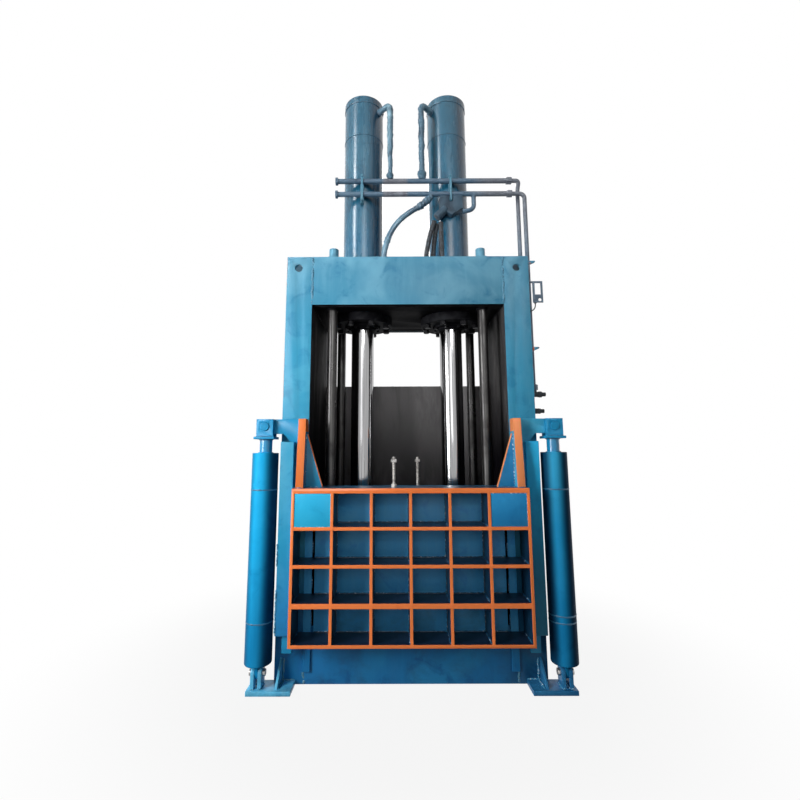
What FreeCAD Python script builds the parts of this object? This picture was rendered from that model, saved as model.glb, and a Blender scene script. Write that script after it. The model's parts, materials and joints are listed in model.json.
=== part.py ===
import FreeCAD, Part
import math
import os

import Sketcher

# Vertical two-cylinder recycling baler with a hydraulically lifted front gate.
#
# Millimetres. +Z is up, +X is to the right of someone facing the gate, and the gate is on the -Y side.
# The origin is on the floor under the middle of the machine; Y = 0 is the plane of the two press cylinders.
# Every driving size is a named cell of the spreadsheet, and every sub-part is bound to those cells.

# ------------------------------------------------------------------ driving sizes

sizes = {
    # press frame
    "frame_width": 1500, "frame_height": 2460, "frame_depth": 670, "frame_plate": 30,
    "column_width": 160, "beam_height": 310, "side_wall_plate": 30,
    "lifting_hole": 48, "lifting_hole_inset": 73,
    "crosshead_floor": 40, "crosshead_roof": 30, "crosshead_web": 20, "web_half_spacing": 80,
    "side_rib_plate": 20, "side_rib_spacing": 340, "side_rib_first": 150,
    "chamber_floor_height": 300, "chamber_floor_plate": 30, "base_rib_plate": 20, "base_rib_spacing": 350,
    "back_wall_height": 1732, "back_rib_plate": 20, "back_rib_depth": 190, "back_rib_half_width": 640,
    "back_rib_bottom": 80,
    # gate
    "gate_width": 1280, "gate_bottom": 256, "gate_reach": 190, "gate_rib_plate": 16, "cell_height": 174.5,
    "gate_bottom_plate": 17, "gate_splice_plate": 26, "gate_shelf_plate": 18, "gate_top_plate": 27,
    "gate_sheet": 11, "sliding_gap": 1, "corner_plate": 8,
    "corner_plate_inset": 3,
    "tongue_plate": 24, "tongue_width": 54, "tongue_drop": 66, "tongue_gap": 6,
    "wear_strip_plate": 12, "wear_strip_lap": 6, "wear_strip_width": 43, "wear_strip_gap": 15,
    "wear_strip_bottom": 66, "wear_strip_top": 1056,
    # guide rails on the front of the columns
    "rail_bottom": 285, "rail_top": 1312, "rail_inner": 652, "rail_width": 75, "rail_flange": 20,
    "rail_web": 25, "rail_reach": 110,
    # lifting brackets on the gate
    "bracket_plate": 42, "bracket_outer": 625, "bracket_height": 380, "bracket_foot_reach": 170,
    "bracket_top_reach": 130, "bracket_back_reach": 50, "arm_depth": 83, "haunch_drop": 53,
    "haunch_flat": 48, "haunch_slope": 43, "arm_plate": 36,
    "gusset_plate": 20, "gusset_base": 98, "gusset_height": 295, "gusset_tip": 8,
    # lift cylinders, their rods and feet
    "lift_axis_out": 820, "lift_axis_reach": 70, "lift_tube": 148, "lift_bore": 120, "lift_tube_bottom": 140,
    "lift_tube_top": 1250, "lift_cap": 30, "lift_gland": 34, "lift_rod": 70, "lift_rod_bottom": 330,
    "lift_piston": 80, "clevis_width": 95, "clevis_cheek": 24, "clevis_base_width": 114,
    "clevis_base_plate": 14, "clevis_base_bottom": 1327, "clevis_gap": 0.5, "clevis_pin": 50,
    "clevis_pin_proud": 6, "clevis_pin_below_top": 42,
    "foot_plate": 24, "foot_inner": 632, "foot_overhang": 47, "foot_reach": 126, "foot_pin_height": 94,
    "foot_pin": 36, "foot_pin_half_length": 43, "lug_plate": 20, "lug_radius": 36, "eye_plate": 18,
    "eye_radius": 32, "lug_gap": 0.5, "foot_gusset_plate": 14, "foot_gusset_out": 712,
    "foot_gusset_height": 115, "foot_gusset_inset": 16,
    # press cylinders
    "press_axis_out": 300, "press_tube": 273, "press_bore": 220, "press_tube_above": 1295, "press_cap": 60,
    "cap_lip": 3, "cap_lip_height": 45, "press_flange": 400, "press_flange_plate": 55, "tube_clearance": 0.5,
    "flange_bolt": 36, "flange_bolt_head": 24, "flange_bolt_circle": 345, "flange_bolts": 8,
    "gland_flange": 238, "gland_flange_plate": 14, "gland_boss": 190, "gland_boss_drop": 12,
    "gland_depth": 90,
    "gland_bolt": 18, "gland_bolt_head": 12, "gland_bolt_circle": 214, "gland_bolts": 8,
    "press_rod": 150, "press_piston": 120, "piston_above_gland": 105, "piston_clearance": 0.3,
    "running_clearance": 0.08,
    "rod_foot": 210, "rod_foot_plate": 30,
    # guide rods
    "guide_out": 472, "guide_off": 245, "guide_rod": 60, "guide_rod_above": 86, "guide_sleeve": 72,
    "guide_sleeve_drop": 14, "guide_boss": 124, "guide_boss_height": 18, "guide_nut": 92,
    "guide_nut_height": 34,
    # platen
    "platen_bottom": 730, "platen_height": 200, "platen_half_width": 578, "platen_half_depth": 292,
    "platen_face_plate": 40, "platen_top_plate": 25, "platen_rib_plate": 20, "platen_rib_spacing": 192,
    # threaded studs
    "stud": 20, "stud_nut": 30, "stud_nut_height": 16, "gate_stud_x": -90, "gate_stud_height": 168,
    "platen_stud_x": 57, "platen_stud_y": -150, "platen_stud_height": 294,
    # hydraulic pipes in front of the press cylinders
    "pipe": 34, "pipe_clear": 12, "header_above": 522, "header_spacing": 95, "header_left_end": -480,
    "header_right_end": 715, "union": 46, "union_length": 34,
    "downpipe": 28, "downpipe_upper_x": 766, "downpipe_lower_x": 800, "downpipe_set_back": 42,
    "downpipe_upper_stop": 890, "downpipe_lower_stop": 788,
    "drop_pipe_x": 108, "drop_pipe_below_cap": 93, "drop_pipe": 36, "drop_pipe_nut_up": 6, "port_angle": 35,
    "strap_width": 14, "strap_plate": 6, "strap_above": 18, "strap_below": 44, "saddle_width": 22,
    "clamp_gap": 1, "seat_gap": 0.1, "weld_sink": 3,
    # hoses and the small valve
    "hose_blue": 38, "hose_black": 27, "hose_socket": 46, "hose_socket_height": 32,
    "valve_x": 302, "valve_above": 432, "valve_width": 154, "valve_height": 138, "valve_reach": 20,
    "valve_corner": 50, "valve_outlet": 58, "valve_outlet_length": 84, "valve_outlet_angle": 136,
    "valve_feed": 30, "valve_feed_x": 456, "valve_feed_drop": 112, "valve_feed_fall": 18,
    # side fittings of the right column
    "peg_length": 46, "peg_root": 28, "peg_tip": 8, "peg_plate": 20, "peg_upper_down": 28,
    "peg_lower_down": 579,
    "switch_plate": 6, "switch_reach": 88, "switch_down": 158, "switch_height": 138, "switch_arm_depth": 12,
    "switch_body_width": 63, "switch_slot_width": 36, "switch_slot_height": 74, "switch_rim": 13,
    "switch_hole": 20, "switch_hole_up": 18, "sensor": 18, "sensor_length": 44, "sensor_wire": 7,
    "sensor_wire_drop": 56,
    "port_elbow": 30, "port_elbow_drop": 62, "port_reach": 872, "port_nipple": 26, "port_nipple_length": 24,
}

document = FreeCAD.newDocument("baler")
sheet = document.addObject("Spreadsheet::Sheet", "Sizes")
for row, (alias, number) in enumerate(sizes.items(), start=1):
    sheet.set(f"A{row}", alias)
    sheet.set(f"B{row}", str(number))
    sheet.setAlias(f"B{row}", alias)
document.recompute()


class Length:
    """A value together with the spreadsheet expression that gives it."""

    def __init__(self, value, text):
        self.value = value
        self.text = text

    def __add__(self, other):
        other = length(other)
        return Length(self.value + other.value, f"({self.text} + {other.text})")

    def __sub__(self, other):
        other = length(other)
        return Length(self.value - other.value, f"({self.text} - {other.text})")

    def __mul__(self, other):
        other = length(other)
        return Length(self.value * other.value, f"({self.text} * {other.text})")

    def __truediv__(self, other):
        other = length(other)
        return Length(self.value / other.value, f"({self.text} / {other.text})")

    def __neg__(self):
        return Length(-self.value, f"(0 - {self.text})")

    __radd__ = __add__
    __rmul__ = __mul__


def length(number):
    return number if isinstance(number, Length) else Length(number, f"({number})")


class Cells:
    """Each cell of the sheet as a Length, read by its alias."""

    def __getattr__(self, alias):
        return Length(float(sheet.get(alias)), f"Sizes.{alias}")


cell = Cells()
sub_parts = []

# places that several pieces share
half_width = cell.frame_width / 2
inner = half_width - cell.column_width
half_depth = cell.frame_depth / 2
front = -half_depth
clear_depth = half_depth - cell.frame_plate
beam_bottom = cell.frame_height - cell.beam_height
flange_bottom = beam_bottom - cell.press_flange_plate
gate_front = front - cell.gate_reach
gate_ribs_back = front - cell.wear_strip_plate - cell.sliding_gap
gate_row_4 = cell.gate_bottom + cell.gate_bottom_plate
gate_row_3 = gate_row_4 + cell.cell_height + cell.gate_splice_plate
gate_row_2 = gate_row_3 + cell.cell_height + cell.gate_shelf_plate
gate_row_1 = gate_row_2 + cell.cell_height + cell.gate_shelf_plate
gate_roof = gate_row_1 + cell.cell_height
gate_top = gate_roof + cell.gate_top_plate
gate_half = cell.gate_width / 2
wear_strip_outside = inner + cell.wear_strip_lap
wear_strip_inside = wear_strip_outside - cell.wear_strip_width
gate_sheet_half = wear_strip_inside - cell.wear_strip_gap
bracket_top = gate_top + cell.bracket_height
lift_y = front - cell.lift_axis_reach
clevis_pin_z = bracket_top - cell.clevis_pin_below_top
platen_top = cell.platen_bottom + cell.platen_height
press_tube_top = cell.frame_height + cell.press_tube_above
pipe_y = -cell.press_tube / 2 - cell.pipe_clear - cell.pipe / 2
header_lower_z = cell.frame_height + cell.header_above
header_upper_z = header_lower_z + cell.header_spacing
drop_pipe_top = press_tube_top - cell.drop_pipe_below_cap
switch_top = cell.frame_height - cell.switch_down


# ------------------------------------------------------------------ helpers

def new_body(name):
    body = document.addObject("PartDesign::Body", name)
    body.Label = name
    sub_parts.append(body)
    return body


def place(thing, x=0, y=0, z=0):
    for axis, distance in zip("xyz", (x, y, z)):
        thing.setExpression(f"Placement.Base.{axis}", length(distance).text)


def sketch_on(body, plane, start):
    """A sketch parallel to an origin plane, at the coordinate start along that plane's axis."""
    sketch = body.newObject("Sketcher::SketchObject", "Sketch")
    origin_plane = next(item for item in body.Origin.OriginFeatures if item.Role == plane + "_Plane")
    sketch.AttachmentSupport = [(origin_plane, "")]
    sketch.MapMode = "FlatFace"
    offset = -length(start) if plane == "XZ" else length(start)  # the XZ plane faces -Y
    sketch.setExpression("AttachmentOffset.Base.z", offset.text)
    return sketch


def pin_point(sketch, geometry, point, across, up):
    """Hold one point of a sketch at a place that the sheet gives."""
    for kind, axis, distance in (("DistanceX", -2, across), ("DistanceY", -1, up)):
        distance = length(distance)
        if abs(distance.value) < 1e-9:
            sketch.addConstraint(Sketcher.Constraint("PointOnObject", geometry, point, axis))
        else:
            index = sketch.addConstraint(
                Sketcher.Constraint(kind, -1, 1, geometry, point, distance.value))
            sketch.setExpression(f"Constraints[{index}]", distance.text)


def draw_loop(sketch, corners):
    """A closed outline of straight edges through the given corners."""
    corners = [(length(across), length(up)) for across, up in corners]
    vectors = [FreeCAD.Vector(across.value, up.value, 0) for across, up in corners]
    edges = [sketch.addGeometry(Part.LineSegment(start, end), False)
             for start, end in zip(vectors, vectors[1:] + vectors[:1])]
    for edge, following in zip(edges, edges[1:] + edges[:1]):
        sketch.addConstraint(Sketcher.Constraint("Coincident", edge, 2, following, 1))
    for edge, (across, up) in zip(edges, corners):
        pin_point(sketch, edge, 1, across, up)


def draw_box(sketch, left, right, bottom, top):
    draw_loop(sketch, [(left, bottom), (right, bottom), (right, top), (left, top)])


def draw_circle(sketch, across, up, radius):
    across, up, radius = length(across), length(up), length(radius)
    circle = sketch.addGeometry(
        Part.Circle(FreeCAD.Vector(across.value, up.value, 0), FreeCAD.Vector(0, 0, 1), radius.value), False)
    pin_point(sketch, circle, 3, across, up)
    index = sketch.addConstraint(Sketcher.Constraint("Radius", circle, radius.value))
    sketch.setExpression(f"Constraints[{index}]", radius.text)


def pad(body, plane, start, depth, draw, *arguments):
    """Draw a sketch at start and thicken it by depth towards the positive side of its plane."""
    sketch = sketch_on(body, plane, start)
    draw(sketch, *arguments)
    feature = body.newObject("PartDesign::Pad", "Pad")
    feature.Profile = sketch
    feature.setExpression("Length", length(depth).text)
    feature.Reversed = plane == "XZ"
    document.recompute()
    return feature


def bore(body, plane, start, depth, circles):
    """Cut round holes from start, depth long towards the positive side of the plane."""
    sketch = sketch_on(body, plane, start)
    for circle in circles:
        draw_circle(sketch, *circle)
    before = body.Shape.Volume
    feature = body.newObject("PartDesign::Pocket", "Pocket")
    feature.Profile = sketch
    feature.setExpression("Length", length(depth).text)
    feature.Reversed = plane != "XZ"
    document.recompute()
    if not body.Shape.Volume < before - 1:
        raise ValueError(f"{body.Label}: the holes cut nothing")
    return feature


def pattern(body, feature, plane_axis, span, count):
    """Repeat a pad along one of the body's axes, count times over the given span."""
    row = body.newObject("PartDesign::LinearPattern", "LinearPattern")
    row.Originals = [feature]
    axis = next(item for item in body.Origin.OriginFeatures if item.Role == plane_axis + "_Axis")
    row.Direction = (axis, [""])
    row.setExpression("Length", length(span).text)
    row.setExpression("Occurrences", str(count))
    body.Tip = row
    document.recompute()
    return row


def turn(name, outline, x=0, y=0):
    """A turned piece: an outline of (radius, height) corners revolved about a vertical axis."""
    body = new_body(name)
    sketch = sketch_on(body, "XZ", 0)
    draw_loop(sketch, outline)
    revolution = body.newObject("PartDesign::Revolution", "Revolution")
    revolution.Profile = sketch
    revolution.ReferenceAxis = (sketch, ["V_Axis"])
    revolution.Angle = 360
    place(body, x, y)
    document.recompute()
    return body


def group(name, prefix):
    """Gather like pieces into one sub-part of separate solids."""
    members = [item for item in sub_parts if item.Label.startswith(prefix)]
    compound = document.addObject("Part::Compound", name)
    compound.Label = name
    compound.Links = members
    for item in members:
        sub_parts.remove(item)
    sub_parts.append(compound)
    document.recompute()


def solid_feature(name, shape):
    """A piece whose shape Part's own functions make from sizes read off the sheet."""
    feature = document.addObject("Part::Feature", name)
    feature.Label = name
    feature.Shape = shape
    sub_parts.append(feature)
    return feature


def mirrored(side, inside, outside):
    """The left and right ends of a span that lies from inside to outside on one side of the middle."""
    return (inside, outside) if side > 0 else (-outside, -inside)


def vector(x, y, z):
    return FreeCAD.Vector(*(length(item).value for item in (x, y, z)))


def hexagon(across_flats, height, centre, axis=FreeCAD.Vector(0, 0, 1)):
    """A hexagonal nut or bolt head standing on centre along axis."""
    radius = across_flats / math.sqrt(3)
    angles = [math.radians(60 * k) for k in range(7)]
    corners = [FreeCAD.Vector(radius * math.cos(angle), radius * math.sin(angle), 0) for angle in angles]
    prism = Part.Face(Part.makePolygon(corners)).extrude(FreeCAD.Vector(0, 0, height))
    prism.Placement = FreeCAD.Placement(centre, FreeCAD.Rotation(FreeCAD.Vector(0, 0, 1), axis))
    return prism


def pipe_path(points, shares=0.45):
    """Straight runs joined by tangent arcs, each arc as large as its two runs allow."""
    edges, radii = [], []
    start = points[0]
    for before, corner, after in zip(points, points[1:], points[2:]):
        into, out = corner - before, after - corner
        turn_angle = into.getAngle(out)
        reach = shares * min(into.Length, out.Length)
        radii.append(reach / math.tan(turn_angle / 2))
        unit_in, unit_out = FreeCAD.Vector(into).normalize(), FreeCAD.Vector(out).normalize()
        first, last = corner - unit_in * reach, corner + unit_out * reach
        inward = (unit_out - unit_in).normalize()
        sagitta = radii[-1] / math.cos(turn_angle / 2) - radii[-1]
        edges.append(Part.LineSegment(start, first).toShape())
        edges.append(Part.Arc(first, corner + inward * sagitta, last).toShape())
        start = last
    edges.append(Part.LineSegment(start, points[-1]).toShape())
    return Part.Wire(edges), radii


def tube_along(points, diameter, shares=0.45, sides=0):
    """A solid of the given diameter along a path of runs and arcs: round, or with flat sides for a hose."""
    path = pipe_path(points, shares)[0]
    circle = Part.makeCircle(diameter / 2, points[0], points[1] - points[0])
    ring = Part.makePolygon(circle.discretize(Number=sides + 1)) if sides else Part.Wire(circle)
    solid = path.makePipeShell([ring], True, False)
    expected = Part.Face(ring).Area * path.Length
    if abs(solid.Volume - expected) > 0.02 * expected:
        raise ValueError("a swept pipe lost volume")
    return solid


def print_route(name, points):
    """Report a hose's length and its tightest bend."""
    path, radii = pipe_path(points)
    print(name, "length", round(path.Length), "smallest radius", round(min(radii)))


def press_tube_room(side):
    """The space of one press cylinder's tube, a little oversize, for what is fitted round it."""
    return Part.makeCylinder((cell.press_tube / 2 + cell.seat_gap).value, press_tube_top.value,
                             vector(cell.press_axis_out * side, 0, 0))


def header_room(height):
    """The space of one header pipe, a little oversize, for what meets it."""
    return Part.makeCylinder((cell.pipe / 2 + cell.seat_gap).value,
                             (cell.header_right_end - cell.header_left_end).value,
                             vector(cell.header_left_end, pipe_y, height), FreeCAD.Vector(1, 0, 0))


# ------------------------------------------------------------------ press frame

def make_column(name, side, start):
    """A full-height face plate of the portal, with its lifting hole."""
    body = new_body(name)
    left, right = mirrored(side, inner, half_width)
    pad(body, "XZ", start, cell.frame_plate, draw_box, left, right, 0, cell.frame_height)
    eye = (half_width - cell.lifting_hole_inset) * side
    bore(body, "XZ", start, cell.frame_plate,
         [(eye, cell.frame_height - cell.lifting_hole_inset, cell.lifting_hole / 2)])


def make_side_wall(name, side):
    body = new_body(name)
    left, right = mirrored(side, inner, inner + cell.side_wall_plate)
    pad(body, "XY", 0, cell.frame_height, draw_box, left, right, -clear_depth, clear_depth)


def make_side_ribs(name, side):
    """Horizontal ribs between the front and rear column plates, outside the side wall, and a plate on top."""
    body = new_body(name)
    left, right = mirrored(side, inner + cell.side_wall_plate, half_width)
    rib = pad(body, "XY", cell.side_rib_first, cell.side_rib_plate, draw_box,
              left, right, -clear_depth, clear_depth)
    pattern(body, rib, "Z", cell.side_rib_spacing * 6, 7)
    pad(body, "XY", cell.frame_height - cell.side_rib_plate, cell.side_rib_plate, draw_box,
        left, right, -clear_depth, clear_depth)


def make_crosshead():
    """The box beam: face plates, floor and roof, two webs, and bores for the tubes and the guide bushes."""
    body = new_body("crosshead")
    roof = cell.frame_height - cell.crosshead_roof
    pad(body, "XZ", front, cell.frame_plate, draw_box, -inner, inner, beam_bottom, cell.frame_height)
    pad(body, "XY", beam_bottom, cell.crosshead_floor, draw_box, -inner, inner, -clear_depth, clear_depth)
    pad(body, "XY", roof, cell.crosshead_roof, draw_box, -inner, inner, -clear_depth, clear_depth)
    pad(body, "XZ", clear_depth, cell.frame_plate, draw_box, -inner, inner, beam_bottom, cell.frame_height)
    web = pad(body, "YZ", -cell.web_half_spacing - cell.crosshead_web / 2, cell.crosshead_web,
              draw_box, -clear_depth, clear_depth, beam_bottom + cell.crosshead_floor, roof)
    pattern(body, web, "X", cell.web_half_spacing * 2, 2)
    tube_bore = cell.press_tube / 2 + cell.tube_clearance
    bush_bore = cell.guide_sleeve / 2 + cell.running_clearance
    circles = [(cell.press_axis_out * side, 0, tube_bore) for side in (-1, 1)]
    circles += [(cell.guide_out * side, cell.guide_off * end, bush_bore)
                for side in (-1, 1) for end in (-1, 1)]
    bore(body, "XY", beam_bottom, cell.beam_height, circles)


def make_sill(name, start):
    body = new_body(name)
    pad(body, "XZ", start, cell.frame_plate, draw_box, -inner, inner, 0, cell.chamber_floor_height)


def make_chamber_floor():
    """The floor plate with the ribs welded under it."""
    body = new_body("chamber_floor")
    pad(body, "XY", cell.chamber_floor_height - cell.chamber_floor_plate, cell.chamber_floor_plate,
        draw_box, -inner, inner, -clear_depth, clear_depth)
    rib = pad(body, "YZ", -cell.base_rib_spacing - cell.base_rib_plate / 2, cell.base_rib_plate, draw_box,
              -clear_depth, clear_depth, 0, cell.chamber_floor_height - cell.chamber_floor_plate)
    pattern(body, rib, "X", cell.base_rib_spacing * 2, 3)


def make_back_wall():
    """The plain wall behind the chamber and the rib grid welded to its outside."""
    body = new_body("back_wall")
    pad(body, "XZ", clear_depth, cell.frame_plate, draw_box,
        -inner, inner, cell.chamber_floor_height, cell.back_wall_height)
    body = new_body("back_ribs")
    half = cell.back_rib_half_width
    plate = cell.back_rib_plate
    shelf = pad(body, "XZ", half_depth, cell.back_rib_depth, draw_box,
                -half, half, cell.back_rib_bottom, cell.back_rib_bottom + plate)
    pattern(body, shelf, "Z", cell.back_wall_height - cell.back_rib_bottom - plate, 6)
    upright = pad(body, "XZ", half_depth, cell.back_rib_depth, draw_box,
                  -half, -half + plate, cell.back_rib_bottom, cell.back_wall_height)
    pattern(body, upright, "X", half * 2 - plate, 5)


def make_wear_strip(name, side):
    """The strip on the portal's front that the edge of the gate's sheet runs beside."""
    body = new_body(name)
    left, right = mirrored(side, wear_strip_inside, wear_strip_outside)
    pad(body, "XZ", front - cell.wear_strip_plate, cell.wear_strip_plate, draw_box,
        left, right, cell.wear_strip_bottom, cell.wear_strip_top)


def make_guide_rail(name, side):
    """An angle welded on edge to the column: its flange holds the gate's tongue back."""
    body = new_body(name)
    inside, outside = cell.rail_inner * side, (cell.rail_inner + cell.rail_width) * side
    web = outside - cell.rail_web * side
    outer_face = front - cell.rail_reach
    pad(body, "XY", cell.rail_bottom, cell.rail_top - cell.rail_bottom, draw_loop,
        [(inside, outer_face), (outside, outer_face), (outside, front), (web, front),
         (web, outer_face + cell.rail_flange), (inside, outer_face + cell.rail_flange)])


def make_frame():
    for side, word in ((-1, "left"), (1, "right")):
        make_column(f"front_column_{word}", side, front)
        make_column(f"rear_column_{word}", side, clear_depth)
        make_side_wall(f"side_wall_{word}", side)
        make_side_ribs(f"side_ribs_{word}", side)
        make_wear_strip(f"wear_strip_{word}", side)
        make_guide_rail(f"guide_rail_{word}", side)
    make_crosshead()
    make_sill("front_sill", front)
    make_sill("rear_sill", clear_depth)
    make_chamber_floor()
    make_back_wall()


# ------------------------------------------------------------------ press cylinders and guides

def make_press_cylinder(name, side):
    """Tube, closed top with a raised lip, and the flange that hangs under the crosshead."""
    outer, hollow = cell.press_tube / 2, cell.press_bore / 2
    top, lip = press_tube_top, cell.cap_lip
    gland_seat = cell.gland_boss / 2 + cell.tube_clearance
    turn(name, [
        (gland_seat, flange_bottom), (cell.press_flange / 2, flange_bottom),
        (cell.press_flange / 2, beam_bottom), (outer, beam_bottom), (outer, top - cell.cap_lip_height),
        (outer + lip, top - cell.cap_lip_height),
        (outer + lip, top), (0, top), (0, top - cell.press_cap), (hollow, top - cell.press_cap),
        (hollow, flange_bottom + cell.gland_depth), (gland_seat, flange_bottom + cell.gland_depth)],
         cell.press_axis_out * side)


def make_gland(name, side):
    """The bolted ring that guides the chromed rod where it leaves the tube."""
    hole = cell.press_rod / 2 + cell.running_clearance
    flange = cell.gland_flange / 2
    boss = cell.gland_boss / 2
    under = flange_bottom - cell.gland_flange_plate
    turn(name, [
        (hole, under - cell.gland_boss_drop), (boss, under - cell.gland_boss_drop), (boss, under),
        (flange, under), (flange, flange_bottom), (boss, flange_bottom),
        (boss, flange_bottom + cell.gland_depth), (hole, flange_bottom + cell.gland_depth)],
         cell.press_axis_out * side)


def bolt_ring(circle, count, across_flats, head, bottom):
    """Hexagonal heads hanging below a ring on both press axes, at equal angles."""
    heads = []
    for side in (-1, 1):
        for k in range(count):
            angle = math.radians(360 / count * (k + 0.5))
            x = cell.press_axis_out.value * side + circle / 2 * math.cos(angle)
            foot = FreeCAD.Vector(x, circle / 2 * math.sin(angle), bottom - head)
            heads.append(hexagon(across_flats, head, foot))
    return Part.makeCompound(heads)


def make_bolts():
    solid_feature("flange_bolts", bolt_ring(
        cell.flange_bolt_circle.value, int(cell.flange_bolts.value), cell.flange_bolt.value,
        cell.flange_bolt_head.value, flange_bottom.value))
    solid_feature("gland_bolts", bolt_ring(
        cell.gland_bolt_circle.value, int(cell.gland_bolts.value), cell.gland_bolt.value,
        cell.gland_bolt_head.value, (flange_bottom - cell.gland_flange_plate).value))


def make_piston_rod(name, side):
    """Chromed rod with its piston in the tube and its bolted foot on the platen."""
    rod, foot = cell.press_rod / 2, cell.rod_foot / 2
    piston = cell.press_bore / 2 - cell.piston_clearance
    low = flange_bottom + cell.gland_depth + cell.piston_above_gland
    turn(name, [
        (0, platen_top), (foot, platen_top), (foot, platen_top + cell.rod_foot_plate),
        (rod, platen_top + cell.rod_foot_plate), (rod, low), (piston, low),
        (piston, low + cell.press_piston), (0, low + cell.press_piston)],
         cell.press_axis_out * side)


def make_guide_bush(name, side, end):
    """A sleeve right through the crosshead, with a boss on top and a short nose below."""
    hole = cell.guide_rod / 2 + cell.running_clearance
    sleeve, boss = cell.guide_sleeve / 2, cell.guide_boss / 2
    low, high = beam_bottom - cell.guide_sleeve_drop, cell.frame_height + cell.guide_boss_height
    turn(name, [
        (hole, low), (sleeve, low), (sleeve, cell.frame_height), (boss, cell.frame_height), (boss, high),
        (hole, high)],
         cell.guide_out * side, cell.guide_off * end)


def make_guide_rod(name, side, end):
    """A plain rod that rises and falls with the platen, with a nut on the platen's top."""
    rod, nut = cell.guide_rod / 2, cell.guide_nut / 2
    rod_top = cell.frame_height + cell.guide_rod_above
    turn(name, [
        (0, platen_top), (nut, platen_top), (nut, platen_top + cell.guide_nut_height),
        (rod, platen_top + cell.guide_nut_height), (rod, rod_top), (0, rod_top)],
         cell.guide_out * side, cell.guide_off * end)


def make_platen():
    """The pressing plate: a face plate, a top plate and ribs between them."""
    body = new_body("platen")
    wide, deep = cell.platen_half_width, cell.platen_half_depth
    pad(body, "XY", cell.platen_bottom, cell.platen_face_plate, draw_box, -wide, wide, -deep, deep)
    pad(body, "XY", platen_top - cell.platen_top_plate, cell.platen_top_plate, draw_box,
        -wide, wide, -deep, deep)
    low, high = cell.platen_bottom + cell.platen_face_plate, platen_top - cell.platen_top_plate
    rib = pad(body, "YZ", -cell.platen_rib_spacing * 2.5 - cell.platen_rib_plate / 2, cell.platen_rib_plate,
              draw_box, -deep, deep, low, high)
    pattern(body, rib, "X", cell.platen_rib_spacing * 5, 6)
    pad(body, "XZ", -cell.platen_rib_plate / 2, cell.platen_rib_plate, draw_box,
        -cell.platen_rib_spacing * 2.5, cell.platen_rib_spacing * 2.5, low, high)


def make_stud(name, x, y, foot, height):
    """A threaded stud with one nut at its foot and one near its top."""
    rod, nut_height = cell.stud.value / 2, cell.stud_nut_height.value
    base = vector(x, y, foot)
    top_nut = base + FreeCAD.Vector(0, 0, height.value - nut_height * 2)
    shape = Part.makeCylinder(rod, height.value, base)
    shape = shape.fuse([hexagon(cell.stud_nut.value, nut_height, spot) for spot in (base, top_nut)])
    solid_feature(name, shape.removeSplitter())


def make_press():
    for side, word in ((-1, "left"), (1, "right")):
        make_press_cylinder(f"press_cylinder_{word}", side)
        make_gland(f"rod_gland_{word}", side)
        make_piston_rod(f"piston_rod_{word}", side)
        for end, place_word in ((-1, "front"), (1, "rear")):
            make_guide_bush(f"guide_bush_{place_word}_{word}", side, end)
            make_guide_rod(f"guide_rod_{place_word}_{word}", side, end)
    make_bolts()
    make_platen()
    make_stud("platen_stud", cell.platen_stud_x, cell.platen_stud_y, platen_top, cell.platen_stud_height)


# ------------------------------------------------------------------ gate

def draw_shelves(sketch):
    for low, thick in ((cell.gate_bottom, cell.gate_bottom_plate),
                       (gate_row_3 - cell.gate_splice_plate, cell.gate_splice_plate),
                       (gate_row_2 - cell.gate_shelf_plate, cell.gate_shelf_plate),
                       (gate_row_1 - cell.gate_shelf_plate, cell.gate_shelf_plate),
                       (gate_roof, cell.gate_top_plate)):
        draw_box(sketch, -gate_half, gate_half, low, low + thick)


def make_gate_grid():
    """Shelves and uprights on edge: six cells wide and four high."""
    body = new_body("gate_grid")
    depth = gate_ribs_back - gate_front
    upright = pad(body, "XZ", gate_front, depth, draw_box,
                  -gate_half, -gate_half + cell.gate_rib_plate, cell.gate_bottom, gate_top)
    pattern(body, upright, "X", cell.gate_width - cell.gate_rib_plate, 7)
    pad(body, "XZ", gate_front, depth, draw_shelves)


def make_gate_sheet():
    """The sheet that closes the chamber, in line with the wear strips."""
    body = new_body("gate_sheet")
    half = gate_sheet_half
    pad(body, "XZ", gate_ribs_back, cell.gate_sheet + cell.sliding_gap / 2, draw_box,
        -half, half, cell.gate_bottom, gate_top)


def make_corner_plates():
    """Two small plates, set in the top corner cells just behind the ribs' front edges."""
    pitch = (cell.gate_width - cell.gate_rib_plate) / 6
    plates = []
    for side in (-1, 1):
        outside = gate_half - cell.gate_rib_plate
        inside = gate_half - pitch
        left, right = sorted((outside.value * side, inside.value * side))
        plates.append(Part.makeBox(
            right - left, cell.corner_plate.value, cell.cell_height.value,
            FreeCAD.Vector(left, (gate_front + cell.corner_plate_inset).value, gate_row_1.value)))
    solid_feature("gate_corner_plates", Part.makeCompound(plates))


def make_gate_tongue(name, side):
    """The bar on the gate's side that runs behind the guide rail's flange."""
    body = new_body(name)
    left, right = mirrored(side, gate_half, gate_half + cell.tongue_width)
    behind = front - cell.rail_reach + cell.rail_flange + cell.tongue_gap
    pad(body, "XZ", behind, cell.tongue_plate, draw_box,
        left, right, cell.gate_bottom - cell.tongue_drop, gate_top)


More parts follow.
